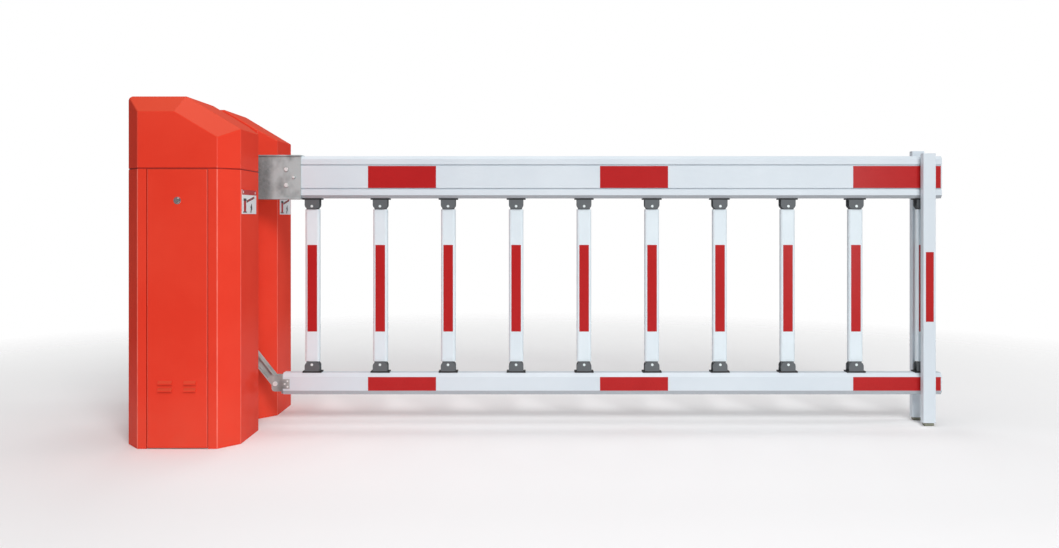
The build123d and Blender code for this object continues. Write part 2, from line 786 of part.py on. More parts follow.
# Anchor of the spring's lower end, on the foot of the rear frame
spring_low = 188.0
with BuildPart() as spring_anchor:
    anchor_foot_radius = 22.0
    anchor_foot_height = 8.0
    anchor_rod_radius = 8.0
    with BuildSketch(Plane.XY.offset(plate_low)):
        with Locations((lever_pin_x, spring_y)):
            Circle(anchor_foot_radius)
    extrude(amount=anchor_foot_height)
    with BuildSketch(Plane.XY.offset(plate_low)):
        with Locations((lever_pin_x, spring_y)):
            Circle(anchor_rod_radius)
    extrude(amount=spring_low - plate_low)
    with BuildSketch(Plane.XY.offset(spring_low - spring_disc)):
        with Locations((lever_pin_x, spring_y)):
            Circle(spring_seat_radius)
    extrude(amount=spring_disc)
spring_anchor.part.label = "spring_anchor"
export_step(spring_anchor.part, "parts/spring_anchor.step")

# Balance spring, as the plain tube that its coils fill
with BuildPart() as balance_spring:
    with BuildSketch(Plane.XY.offset(spring_low)):
        with Locations((lever_pin_x, spring_y)):
            Circle(spring_radius)
            Circle(spring_inner_radius, mode=Mode.SUBTRACT)
    extrude(amount=spring_high - spring_low)
balance_spring.part.label = "balance_spring"
export_step(balance_spring.part, "parts/balance_spring.step")


# ---------------------------------------------------------- main shaft group
shaft_overhang = 20.0
shaft_start = outer_plate_y - shaft_overhang
shaft_end = 2 * boom_y - shaft_start
shaft_end_chamfer = 1.5
stub_length = 28.0
stub_radius = 10.0
with BuildPart() as main_shaft:
    with BuildSketch(upright(shaft_end)):
        with Locations((main_x, main_z)):
            Circle(shaft_radius)
    extrude(amount=shaft_end - shaft_start)
    chamfer(edges().filter_by(GeomType.CIRCLE), shaft_end_chamfer)
    with BuildSketch(upright(shaft_start)):
        with Locations((main_x, main_z)):
            Circle(stub_radius)
    extrude(amount=stub_length)
main_shaft.part.label = "main_shaft"
export_step(main_shaft.part, "parts/main_shaft.step")

with BuildPart() as drive_lever:
    lever_blank(drive_lever_y, main_z, lever_boss_reach)
    lever_pin(rod_y[0] - pin_overrun, drive_lever_y[0], main_z + lever_pin_rise)
    with Locations((main_x, sum(drive_lever_y) / 2, main_z)):
        Cylinder(shaft_radius, lever_length, rotation=(90, 0, 0), mode=Mode.SUBTRACT)
drive_lever.part.label = "drive_lever"
export_step(drive_lever.part, "parts/drive_lever.step")

with BuildPart() as spring_lever:
    lever_blank(spring_lever_y, main_z, lever_boss_reach)
    lever_pin(hanger_y[0] - pin_overrun, spring_lever_y[0], main_z + lever_pin_rise)
    with Locations((main_x, sum(spring_lever_y) / 2, main_z)):
        Cylinder(shaft_radius, lever_length, rotation=(90, 0, 0), mode=Mode.SUBTRACT)
spring_lever.part.label = "spring_lever"
export_step(spring_lever.part, "parts/spring_lever.step")

# Cam on the shaft's stub, between the limit switches
with BuildPart() as limit_cam:
    stub_overhang = 4.0
    cam_start = shaft_start - stub_length + stub_overhang
    cam_width = 12.0
    cam_radius = 15.0
    lobe_width = 14.0
    lobe_height = 10.0
    lobe_middle = -17.0
    with BuildSketch(upright(cam_start + cam_width)):
        with Locations((main_x, main_z)):
            Circle(cam_radius)
            Circle(stub_radius, mode=Mode.SUBTRACT)
            with Locations((0, lobe_middle)):
                Rectangle(lobe_width, lobe_height)
    extrude(amount=cam_width)
limit_cam.part.label = "limit_cam"
export_step(limit_cam.part, "parts/limit_cam.step")

# Boom clamp: a folded steel sleeve round the rail's end, welded to a hub
clamp_tip = 277.0
clamp_sheet = 3.0
clamp_lip = 4.0
upper_lip_height = 4.0
lower_lip_height = 6.0
clamp_hub_wall = 22.0
clamp_hub_gap = 11.0
clamp_left = 30.0
clamp_fit = 0.2
clamp_bolts_at = (
    (230.0, main_z + 25.0, 4.0, 6.8),
    (230.0, main_z - 25.5, 4.0, 6.8),
    (254.0, main_z, 2.5, 4.6),
)
clamp_half = rail_depth / 2 + clamp_fit + clamp_sheet
with BuildPart() as boom_clamp:
    clamp_length = clamp_tip - clamp_left
    clamp_middle = (clamp_tip + clamp_left) / 2
    clamp_inner = top_rail_height + 2 * clamp_fit
    clamp_outer = clamp_inner + 2 * clamp_sheet
    with Locations((clamp_middle, boom_y, main_z)):
        Box(clamp_length, 2 * clamp_half, clamp_outer)
    for side, lip_height in ((1, upper_lip_height), (-1, lower_lip_height)):
        lip_z = main_z + side * (clamp_outer - lip_height) / 2
        with Locations((clamp_middle, boom_y, lip_z)):
            Box(clamp_length, 2 * (clamp_half + clamp_lip), lip_height)
    with Locations((clamp_middle + clamp_sheet, boom_y, main_z)):
        Box(clamp_length, 2 * (clamp_half - clamp_sheet), clamp_inner, mode=Mode.SUBTRACT)
    hub_length = cabinet_gap - 2 * clamp_hub_gap
    with Locations((main_x, boom_y, main_z)):
        Cylinder(shaft_radius + clamp_hub_wall, hub_length, rotation=(90, 0, 0))
        Cylinder(shaft_radius, cabinet_gap, rotation=(90, 0, 0), mode=Mode.SUBTRACT)
    for bolt_x, bolt_z, bolt_radius, _ in clamp_bolts_at:
        with Locations((bolt_x, boom_y, bolt_z)):
            Cylinder(bolt_radius, 4 * clamp_half, rotation=(90, 0, 0), mode=Mode.SUBTRACT)
boom_clamp.part.label = "boom_clamp"
export_step(boom_clamp.part, "parts/boom_clamp.step")

with BuildPart() as clamp_bolts:
    bolt_head = 4.5
    for bolt_x, bolt_z, bolt_radius, head_radius in clamp_bolts_at:
        with Locations((bolt_x, boom_y, bolt_z)):
            Cylinder(bolt_radius, 2 * clamp_half, rotation=(90, 0, 0))
        with BuildSketch(upright(boom_y - clamp_half), upright(boom_y + clamp_half + bolt_head)):
            with Locations((bolt_x, bolt_z)):
                RegularPolygon(head_radius, 6)
        extrude(amount=bolt_head)
clamp_bolts.part.label = "clamp_bolts"
export_step(clamp_bolts.part, "parts/clamp_bolts.step")


# --------------------------------------------------------------------- rails
half_rail = rail_depth / 2
groove_floor = half_rail - groove_depth


def rail_section(start_x, outline, shrink=0.0):
    """Rail section at start_x about the boom's middle plane, made smaller by shrink."""
    with BuildSketch(Plane.YZ.offset(start_x)) as section:
        with Locations((boom_y, 0)):
            Polygon(*mirrored(outline), align=None)
        if shrink > 0:
            offset(amount=-shrink, kind=Kind.INTERSECTION, mode=Mode.REPLACE)
    return section.sketch


top_outline = [
    (half_rail - edge_chamfer, top_rail_high),
    (half_rail, top_rail_high - top_chamfer_height),
    (half_rail, top_rail_high - upper_groove),
    (groove_floor, top_rail_high - upper_groove),
    (groove_floor, top_rail_high - upper_groove - groove_width),
    (half_rail, top_rail_high - upper_groove - groove_width),
    (half_rail, top_rail_high - lower_groove),
    (groove_floor, top_rail_high - lower_groove),
    (groove_floor, top_rail_high - lower_groove - groove_width),
    (half_rail, top_rail_high - lower_groove - groove_width),
    (half_rail, top_rail_low + top_chamfer_height),
    (half_rail - edge_chamfer, top_rail_low),
]
top_hollow = [
    (half_rail - edge_chamfer - rail_wall, top_rail_high - rail_wall),
    (groove_floor - rail_wall, top_rail_high - top_chamfer_height - rail_wall),
    (groove_floor - rail_wall, top_rail_low + top_chamfer_height + rail_wall),
    (half_rail - edge_chamfer - rail_wall, top_rail_low + rail_wall),
]
with BuildPart() as top_rail:
    top_length = rail_tip - cap_thickness - top_rail_start
    extrude(rail_section(top_rail_start, top_outline), amount=top_length)
    extrude(rail_section(top_rail_start, top_hollow), amount=top_length, mode=Mode.SUBTRACT)
    for bolt_x, bolt_z, bolt_radius, _ in clamp_bolts_at:
        with Locations((bolt_x, boom_y, bolt_z)):
            Cylinder(bolt_radius, 2 * rail_depth, rotation=(90, 0, 0), mode=Mode.SUBTRACT)
top_rail.part.label = "top_rail"
export_step(top_rail.part, "parts/top_rail.step")

bottom_outline = [
    (half_rail - edge_chamfer, bottom_rail_high),
    (half_rail, bottom_rail_high - bottom_chamfer),
    (half_rail, bottom_rail_low + bottom_chamfer),
    (half_rail - edge_chamfer, bottom_rail_low),
]
bottom_hollow = [
    (half_rail - edge_chamfer - rail_wall, bottom_rail_high - rail_wall),
    (half_rail - rail_wall, bottom_rail_high - bottom_chamfer - rail_wall / 2),
    (half_rail - rail_wall, bottom_rail_low + bottom_chamfer + rail_wall / 2),
    (half_rail - edge_chamfer - rail_wall, bottom_rail_low + rail_wall),
]
with BuildPart() as bottom_rail:
    bottom_length = rail_tip - cap_thickness - bottom_rail_start
    extrude(rail_section(bottom_rail_start, bottom_outline), amount=bottom_length)
    extrude(rail_section(bottom_rail_start, bottom_hollow), amount=bottom_length,
            mode=Mode.SUBTRACT)
bottom_rail.part.label = "bottom_rail"
export_step(bottom_rail.part, "parts/bottom_rail.step")

# End caps, each with a plug inside its rail
plug_length = 14.0
plug_fit = 0.2
cap_x = rail_tip - cap_thickness
with BuildPart() as top_rail_cap:
    extrude(rail_section(cap_x, top_outline), amount=cap_thickness)
    extrude(rail_section(cap_x - plug_length, top_hollow, plug_fit), amount=plug_length)
top_rail_cap.part.label = "top_rail_cap"
export_step(top_rail_cap.part, "parts/top_rail_cap.step")

with BuildPart() as bottom_rail_cap:
    extrude(rail_section(cap_x, bottom_outline), amount=cap_thickness)
    extrude(rail_section(cap_x - plug_length, bottom_hollow, plug_fit), amount=plug_length)
bottom_rail_cap.part.label = "bottom_rail_cap"
export_step(bottom_rail_cap.part, "parts/bottom_rail_cap.step")


def tape_strips(low_z, high_z):
    """Reflective strips on both faces of a rail, between two heights."""
    for start_x, end_x in tape_spans:
        for side in (-1, 1):
            strip_y = boom_y + side * (half_rail + tape_thickness / 2)
            with Locations(((start_x + end_x) / 2, strip_y, (low_z + high_z) / 2)):
                Box(end_x - start_x, tape_thickness, high_z - low_z)


with BuildPart() as top_rail_tapes:
    tape_strips(top_rail_high - lower_groove, top_rail_high - upper_groove - groove_width)
top_rail_tapes.part.label = "top_rail_tapes"
export_step(top_rail_tapes.part, "parts/top_rail_tapes.step")

with BuildPart() as bottom_rail_tapes:
    tape_strips(bottom_rail_low + bottom_chamfer, bottom_rail_high - bottom_chamfer)
bottom_rail_tapes.part.label = "bottom_rail_tapes"
export_step(bottom_rail_tapes.part, "parts/bottom_rail_tapes.step")


# ------------------------------------------------------- brackets and pins
# Clevis brackets under the top rail, one for each picket
with BuildPart() as top_brackets:
    bracket_centres = [(x, top_rail_low - bracket_height / 2) for x in picket_x]
    for ear_y in (boom_y - ear_inner, boom_y + ear_outer):
        with BuildSketch(upright(ear_y)):
            with Locations(*bracket_centres):
                Rectangle(picket_width, bracket_height)
            fillet(vertices().group_by(Axis.Y)[0], bracket_corner)
        extrude(amount=ear_outer - ear_inner)
    for x in picket_x:
        flange_z = top_rail_low - bracket_flange_thickness / 2
        with Locations((x, boom_y, flange_z)):
            Box(bracket_flange_length, 2 * ear_outer, bracket_flange_thickness)
        with Locations((x, boom_y, pin_z)):
            Cylinder(pin_radius, 4 * ear_outer, rotation=(90, 0, 0), mode=Mode.SUBTRACT)
top_brackets.part.label = "top_brackets"
export_step(top_brackets.part, "parts/top_brackets.step")

with BuildPart() as bottom_brackets:
    mirror(top_brackets.part, about=picket_middle)
bottom_brackets.part.label = "bottom_brackets"
export_step(bottom_brackets.part, "parts/bottom_brackets.step")

# Pins through the brackets; the last one reaches into both legs
leg_inner = half_rail + leg_gap
leg_outer = leg_inner + leg_depth
with BuildPart() as top_pins:
    for x in picket_x[:-1]:
        with Locations((x, boom_y, pin_z)):
            Cylinder(pin_radius, 2 * ear_outer, rotation=(90, 0, 0))
        for head_y in (boom_y - ear_outer - pin_head_height / 2,
                       boom_y + ear_outer + pin_head_height / 2):
            with Locations((x, head_y, pin_z)):
                Cylinder(pin_head_radius, pin_head_height, rotation=(90, 0, 0))
    with Locations((picket_x[-1], boom_y, pin_z)):
        Cylinder(pin_radius, 2 * (leg_outer - leg_pin_end_gap), rotation=(90, 0, 0))
top_pins.part.label = "top_pins"
export_step(top_pins.part, "parts/top_pins.step")

with BuildPart() as bottom_pins:
    mirror(top_pins.part, about=picket_middle)
bottom_pins.part.label = "bottom_pins"
export_step(bottom_pins.part, "parts/bottom_pins.step")


# ------------------------------------------------------------------- pickets
def picket_end(x, pivot_z, inward, bore):
    """Rounded tongue on a pin, with a plug that stands in the picket's tube."""
    tube_z = pivot_z + inward * pin_to_tube
    with BuildSketch(upright(boom_y + tongue_depth / 2)) as tongue:
        with Locations((x, pivot_z)):
            Circle(tongue_radius)
        with Locations((x, (pivot_z + tube_z) / 2)):
            Rectangle(2 * tongue_radius, pin_to_tube)
    extrude(tongue.sketch, amount=tongue_depth)
    cut_z = tube_z + inward * tongue_radius
    with Locations((x, boom_y, cut_z)):
        Box(3 * tongue_radius, 2 * picket_depth, 2 * tongue_radius, mode=Mode.SUBTRACT)
    inner_width = picket_width - 2 * picket_wall - 2 * plug_fit
    inner_depth = picket_depth - 2 * picket_wall - 2 * plug_fit
    with BuildSketch(Plane.XY.offset(min(tube_z, tube_z + inward * plug_length))) as plug:
        with Locations((x, boom_y)):
            RectangleRounded(inner_width, inner_depth, picket_round - picket_wall)
    extrude(plug.sketch, amount=plug_length)
    with Locations((x, boom_y, pivot_z)):
        Cylinder(bore, 2 * picket_depth, rotation=(90, 0, 0), mode=Mode.SUBTRACT)


def picket(x):
    """Picket: a rounded tube with a pinned plug at each end."""
    with BuildPart() as upper_plug:
        picket_end(x, pin_z, -1, pin_radius + running_fit)
    with BuildPart() as lower_plug:
        picket_end(x, lower_pin_z, 1, pin_radius + open_pivot_clearance)
    with BuildPart() as tube:
        with BuildSketch(Plane.XY.offset(lower_pin_z + pin_to_tube)):
            with Locations((x, boom_y)):
                RectangleRounded(picket_width, picket_depth, picket_round)
                RectangleRounded(picket_width - 2 * picket_wall, picket_depth - 2 * picket_wall,
                                 picket_round - picket_wall, mode=Mode.SUBTRACT)
        extrude(amount=picket_length - 2 * pin_to_tube)
    return Compound(children=[tube.part, upper_plug.part, lower_plug.part])


for number, x in enumerate(picket_x[:-1], start=1):
    one_picket = picket(x)
    one_picket.label = f"picket_{number}"
    export_step(one_picket, f"parts/picket_{number}.step")

end_picket = picket(picket_x[-1])
end_picket.label = "end_picket"
export_step(end_picket, "parts/end_picket.step")


# ---------------------------------------------------------------------- legs
# Tube legs before and behind the rails, on the end picket's pins
leg_x = picket_x[-1]
leg_offset = leg_inner + leg_depth / 2


def leg(side, top_z):
    """Leg on one side of the boom, with blind bores for the two pins."""
    with BuildPart() as tube:
        with BuildSketch(Plane.XY.offset(foot_height)):
            with Locations((leg_x, boom_y + side * leg_offset)):
                RectangleRounded(leg_width, leg_depth, leg_corner)
                Rectangle(leg_width - 2 * leg_wall, leg_depth - 2 * leg_wall, mode=Mode.SUBTRACT)
        extrude(amount=top_z - foot_height)
        for bore_z, bore in ((pin_z, pin_radius + running_fit),
                             (lower_pin_z, pin_radius + open_pivot_clearance)):
            with Locations((leg_x, boom_y + side * leg_inner, bore_z)):
                Cylinder(bore, leg_depth, rotation=(90, 0, 0), mode=Mode.SUBTRACT)
    return tube.part


front_leg = leg(-1, front_leg_top)
front_leg.label = "front_leg"
export_step(front_leg, "parts/front_leg.step")

rear_leg = leg(1, rear_leg_top)
rear_leg.label = "rear_leg"
export_step(rear_leg, "parts/rear_leg.step")

leg_inside = (leg_width - 2 * leg_wall - 2 * plug_fit, leg_depth - 2 * leg_wall - 2 * plug_fit)
with BuildPart() as leg_feet:
    with Locations((leg_x, boom_y - leg_offset, foot_height / 2)):
        Box(foot_width, foot_depth, foot_height)
    chamfer(faces().sort_by(Axis.Z)[0].edges(), foot_edge)
    with Locations((leg_x, boom_y - leg_offset, foot_height + plug_length)):
        Box(*leg_inside, 2 * plug_length)
    mirror(about=boom_plane)
leg_feet.part.label = "leg_feet"
export_step(leg_feet.part, "parts/leg_feet.step")

with BuildPart() as leg_caps:
    for side, top_z in ((-1, front_leg_top), (1, rear_leg_top)):
        cap_y = boom_y + side * leg_offset
        with Locations((leg_x, cap_y, top_z - plug_length / 2)):
            Box(*leg_inside, plug_length)
        with BuildSketch(Plane.XY.offset(top_z)) as cap_plate:
            with Locations((leg_x, cap_y)):
                RectangleRounded(leg_width, leg_depth, leg_corner)
        extrude(cap_plate.sketch, amount=leg_cap_thickness)
leg_caps.part.label = "leg_caps"
export_step(leg_caps.part, "parts/leg_caps.step")


# ---------------------------------------------------------- lower link group
lower_overhang = 6.0
lower_start = inner_plate_y - lower_overhang
lower_end = 2 * boom_y - lower_start
lower_end_chamfer = 1.0
with BuildPart() as lower_shaft:
    with BuildSketch(upright(lower_end)):
        with Locations((main_x, lower_z)):
            Circle(lower_shaft_radius)
    extrude(amount=lower_end - lower_start)
    chamfer(edges().filter_by(GeomType.CIRCLE), lower_end_chamfer)
lower_shaft.part.label = "lower_shaft"
export_step(lower_shaft.part, "parts/lower_shaft.step")

# Link arm from the lower shaft down to the end of the bottom rail
bend_z = (bottom_rail_high + bottom_rail_low) / 2
link_dx = link_bend_x - main_x
link_dz = bend_z - lower_z
link_length = hypot(link_dx, link_dz)
link_angle = degrees(atan2(link_dz, link_dx))
link_middle = (main_x + link_dx / 2, lower_z + link_dz / 2)
link_hub_radius = 24.0
link_hub_gap = 12.5
link_bolt_radius = 5.0
with BuildPart() as link_arm:
    with BuildSketch(upright(boom_y + link_thickness / 2)):
        with Locations(Location((*link_middle, 0), (0, 0, link_angle))):
            Rectangle(link_length, link_width)
        with Locations((link_bend_x, bend_z)):
            Circle(link_width / 2)
    extrude(amount=link_thickness)
    # Pockets that leave a web between two flanges
    pocket_depth = 11.0
    pocket_end = 30.0
    flange_sheet = 4.0
    for pocket_y in (boom_y + link_thickness / 2, boom_y - link_thickness / 2 + pocket_depth):
        with BuildSketch(upright(pocket_y)):
            with Locations(Location((*link_middle, 0), (0, 0, link_angle))):
                Rectangle(link_length - 2 * pocket_end, link_width - 2 * flange_sheet)
        extrude(amount=pocket_depth, mode=Mode.SUBTRACT)
    with Locations((main_x, boom_y, lower_z)):
        Cylinder(link_hub_radius, cabinet_gap - 2 * link_hub_gap, rotation=(90, 0, 0))
        Cylinder(lower_shaft_radius, cabinet_gap, rotation=(90, 0, 0), mode=Mode.SUBTRACT)
    with Locations((link_bend_x, boom_y, bend_z)):
        Cylinder(link_bolt_radius, 2 * link_thickness, rotation=(90, 0, 0), mode=Mode.SUBTRACT)
link_arm.part.label = "link_arm"
export_step(link_arm.part, "parts/link_arm.step")

# Bracket on the bottom rail's end: two cheeks, an end plate and two face tabs
cheek_clearance = 0.5
cheek_thickness = 5.0
cheek_inner = link_thickness / 2 + cheek_clearance
cheek_outer = cheek_inner + cheek_thickness
end_plate = 4.0
end_plate_height = 62.0
tab_thickness = 2.5
tab_length = 22.0
tab_height = 30.0
tab_screws_at = ((6.5, 0.0), (15.5, 9.0), (15.5, -9.0))
with BuildPart() as rail_end_bracket:
    cheek_height = 50.0
    cheek_end_length = 24.0
    cheek_corner = 11.0
    cheek_end = bottom_rail_start - end_plate
    for cheek_y in (boom_y - cheek_inner, boom_y + cheek_outer):
        with BuildSketch(upright(cheek_y)):
            with Locations(((link_bend_x + cheek_end) / 2, bend_z)):
                Rectangle(cheek_end - link_bend_x, cheek_height)
            with Locations((link_bend_x, bend_z)):
                RectangleRounded(cheek_end_length, cheek_height, cheek_corner)
        extrude(amount=cheek_outer - cheek_inner)
    with Locations((bottom_rail_start - end_plate / 2, boom_y, bend_z)):
        Box(end_plate, 2 * (half_rail + tab_thickness), end_plate_height)
    for side in (-1, 1):
        tab_y = boom_y + side * (half_rail + tab_thickness / 2)
        with Locations((bottom_rail_start + tab_length / 2, tab_y, bend_z)):
            Box(tab_length, tab_thickness, tab_height)
    with Locations((link_bend_x, boom_y, bend_z)):
        Cylinder(link_bolt_radius, 4 * half_rail, rotation=(90, 0, 0), mode=Mode.SUBTRACT)
rail_end_bracket.part.label = "rail_end_bracket"
export_step(rail_end_bracket.part, "parts/rail_end_bracket.step")

# Bolt through link and cheeks, and the small screws of the tabs
with BuildPart() as rail_end_fasteners:
    link_bolt_head = 4.0
    link_bolt_head_radius = 7.5
    tab_screw_head = 1.5
    tab_screw_radius = 3.0
    with Locations((link_bend_x, boom_y, bend_z)):
        Cylinder(link_bolt_radius, 2 * cheek_outer, rotation=(90, 0, 0))
    with BuildSketch(upright(boom_y - cheek_outer), upright(boom_y + cheek_outer + link_bolt_head)):
        with Locations((link_bend_x, bend_z)):
            Circle(link_bolt_head_radius)
    extrude(amount=link_bolt_head)
    tab_face = half_rail + tab_thickness
    with BuildSketch(upright(boom_y - tab_face), upright(boom_y + tab_face + tab_screw_head)):
        for along, up in tab_screws_at:
            with Locations((bottom_rail_start + along, bend_z + up)):
                Circle(tab_screw_radius)
    extrude(amount=tab_screw_head)
rail_end_fasteners.part.label = "rail_end_fasteners"
export_step(rail_end_fasteners.part, "parts/rail_end_fasteners.step")
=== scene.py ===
import json
from math import cos, pi, radians, sin, tau

import bmesh
import bpy
from mathutils import Matrix, Vector


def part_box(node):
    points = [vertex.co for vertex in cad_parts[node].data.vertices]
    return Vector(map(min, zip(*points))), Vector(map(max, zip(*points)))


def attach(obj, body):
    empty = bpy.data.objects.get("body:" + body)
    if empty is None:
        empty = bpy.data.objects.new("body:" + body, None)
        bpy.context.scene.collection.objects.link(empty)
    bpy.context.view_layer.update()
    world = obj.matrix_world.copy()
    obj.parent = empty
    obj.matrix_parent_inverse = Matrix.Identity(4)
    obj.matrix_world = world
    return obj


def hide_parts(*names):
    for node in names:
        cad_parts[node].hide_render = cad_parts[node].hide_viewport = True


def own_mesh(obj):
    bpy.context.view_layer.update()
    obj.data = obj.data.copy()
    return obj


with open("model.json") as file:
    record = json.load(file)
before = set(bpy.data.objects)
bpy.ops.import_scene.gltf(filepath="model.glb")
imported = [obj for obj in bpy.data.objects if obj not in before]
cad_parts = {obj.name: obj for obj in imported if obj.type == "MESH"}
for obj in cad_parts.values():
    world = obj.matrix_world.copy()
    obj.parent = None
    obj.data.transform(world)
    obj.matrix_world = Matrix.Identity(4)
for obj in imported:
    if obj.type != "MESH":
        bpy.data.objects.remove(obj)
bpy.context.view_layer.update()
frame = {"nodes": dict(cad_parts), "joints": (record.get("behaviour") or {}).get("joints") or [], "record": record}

# The looks of a parking barrier gate: materials for the CAD parts, reflective
# strips, hood gaskets, pictogram plates, the trim of locks, doors and drive,
# the balance spring's coils, then the studio.  Metres, in the CAD's own frame.

nodes = frame["nodes"]
joints = {joint["name"]: joint for joint in frame["joints"]}
picket_names = sorted(name for name in nodes if name.startswith("picket_")) + ["end_picket"]
body_of_node = {
    node: body
    for body, members in frame["record"]["behaviour"]["bodies"].items()
    for node in members
}


def middle(node):
    """Centre of a CAD node's box."""
    low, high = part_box(node)
    return (low + high) / 2


def linear(red, green, blue):
    """Colour given as 0 to 255 screen values, as the shader's linear values."""
    def channel(value):
        share = value / 255
        if share <= 0.04045:
            return share / 12.92
        return ((share + 0.055) / 1.055) ** 2.4
    return (channel(red), channel(green), channel(blue), 1.0)


# ------------------------------------------------------------------ materials
class Finish:
    """A material with one Principled shader, and short ways to add nodes to it."""

    def __init__(self, name, roughness, metallic=0.0, coat=0.0, coat_roughness=0.1, specular=0.5):
        self.material = bpy.data.materials.new(name)
        self.material.use_nodes = True
        self.tree = self.material.node_tree
        self.shader = self.tree.nodes["Principled BSDF"]
        self.shader.inputs["Roughness"].default_value = roughness
        self.shader.inputs["Metallic"].default_value = metallic
        self.shader.inputs["Coat Weight"].default_value = coat
        self.shader.inputs["Coat Roughness"].default_value = coat_roughness
        self.shader.inputs["Specular IOR Level"].default_value = specular
        coordinates = self.tree.nodes.new("ShaderNodeTexCoord")
        self.place = coordinates.outputs["Object"]
        self.facing_way = coordinates.outputs["Normal"]
        self.normal = None

    def feed(self, socket, value):
        """Link a socket, or set its value."""
        if isinstance(value, bpy.types.NodeSocket):
            self.tree.links.new(value, socket)
        else:
            socket.default_value = value

    def stretched(self, stretch):
        """Object coordinates multiplied by stretch along each axis."""
        mapping = self.tree.nodes.new("ShaderNodeMapping")
        self.feed(mapping.inputs["Vector"], self.place)
        mapping.inputs["Scale"].default_value = stretch
        return mapping.outputs["Vector"]

    def noise(self, scale, detail=2.0, stretch=(1, 1, 1)):
        """Cloudy pattern, 0 to 1; scale is in features per metre."""
        noise = self.tree.nodes.new("ShaderNodeTexNoise")
        self.feed(noise.inputs["Vector"], self.stretched(stretch))
        noise.inputs["Scale"].default_value = scale
        noise.inputs["Detail"].default_value = detail
        return noise.outputs["Fac"]

    def cells(self, scale, output="Distance", feature="F1", stretch=(1, 1, 1)):
        """Cell pattern; scale is in cells per metre."""
        cells = self.tree.nodes.new("ShaderNodeTexVoronoi")
        cells.feature = feature
        self.feed(cells.inputs["Vector"], self.stretched(stretch))
        cells.inputs["Scale"].default_value = scale
        return cells.outputs[output]

    def component(self, vector, axis):
        """One of a vector's three numbers."""
        split = self.tree.nodes.new("ShaderNodeSeparateXYZ")
        self.feed(split.inputs["Vector"], vector)
        return split.outputs[axis]

    def height(self):
        """Height over the floor at rest, in metres."""
        return self.component(self.place, "Z")

    def along(self):
        """Distance along the boom from the cabinets' middle at rest, in metres."""
        return self.component(self.place, "X")

    def underside(self):
        """1 on faces that look down at rest, 0 on the others."""
        return self.remap(self.component(self.facing_way, "Z"), -0.55, -0.35, 1.0, 0.0)

    def looks(self, direction):
        """1 on faces that look along that direction or a mirror image of it, less on others."""
        sizes = self.tree.nodes.new("ShaderNodeVectorMath")
        sizes.operation = "ABSOLUTE"
        self.feed(sizes.inputs[0], self.facing_way)
        turn = self.tree.nodes.new("ShaderNodeVectorMath")
        turn.operation = "DOT_PRODUCT"
        self.feed(turn.inputs[0], sizes.outputs["Vector"])
        turn.inputs[1].default_value = direction
        return turn.outputs["Value"]

    def upright_folds(self, corner_cut):
        """1 on the rounded upright folds at the corners, whose cut looks along corner_cut."""
        flat = self.larger(self.larger(self.looks((1, 0, 0)), self.looks((0, 1, 0))),
                           self.looks(corner_cut))
        folded = self.remap(flat, 0.985, 0.998, to_low=1.0, to_high=0.0)
        upright = self.remap(self.looks((0, 0, 1)), 0.02, 0.08, to_low=1.0, to_high=0.0)
        return self.times(upright, folded)

    def remap(self, value, low, high, to_low=0.0, to_high=1.0):
        """Value taken from one range to another, and held inside it."""
        remap = self.tree.nodes.new("ShaderNodeMapRange")
        self.feed(remap.inputs["Value"], value)
        for socket, number in zip(("From Min", "From Max", "To Min", "To Max"),
                                  (low, high, to_low, to_high)):
            remap.inputs[socket].default_value = number
        return remap.outputs["Result"]

    def maths(self, operation, first, second=0.0):
        """Result of a Math node's operation on one or two values."""
        maths = self.tree.nodes.new("ShaderNodeMath")
        maths.operation = operation
        self.feed(maths.inputs[0], first)
        self.feed(maths.inputs[1], second)
        return maths.outputs["Value"]

    def times(self, first, second):
        """Product of two values."""
        return self.maths("MULTIPLY", first, second)

    def larger(self, first, second):
        """The larger of two values."""
        return self.maths("MAXIMUM", first, second)

    def mix(self, share, first, second):
        """Colour between first and second; a Mix node's colours are its sockets 6, 7 and 2."""
        mix = self.tree.nodes.new("ShaderNodeMix")
        mix.data_type = "RGBA"
        self.feed(mix.inputs[0], share)
        self.feed(mix.inputs[6], first)
        self.feed(mix.inputs[7], second)
        return mix.outputs[2]

    def colour(self, value):
        """Give the surface its colour."""
        self.feed(self.shader.inputs["Base Color"], value)

    def roughness(self, value):
        """Give the surface its roughness."""
        self.feed(self.shader.inputs["Roughness"], value)

    def rough_between(self, low, high, scale, detail=4.0):
        """Give the surface a roughness that wanders between two values in clouds."""
        self.roughness(self.remap(self.noise(scale, detail), 0.3, 0.7, low, high))

    def bump(self, height, distance, strength=1.0):
        """Relief of that depth in metres, on top of any relief given before."""
        bump = self.tree.nodes.new("ShaderNodeBump")
        bump.inputs["Strength"].default_value = strength
        bump.inputs["Distance"].default_value = distance
        self.feed(bump.inputs["Height"], height)
        if self.normal is not None:
            self.feed(bump.inputs["Normal"], self.normal)
        self.normal = bump.outputs["Normal"]
        self.feed(self.shader.inputs["Normal"], self.normal)


hood_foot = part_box("front_cabinet")[1].z
picket_middle_z = middle("picket_1").z
corner_cut_x = 0.050
corner_cut_y = 0.060
# Keeps two surfaces from lying in one plane.
hair = 0.0001


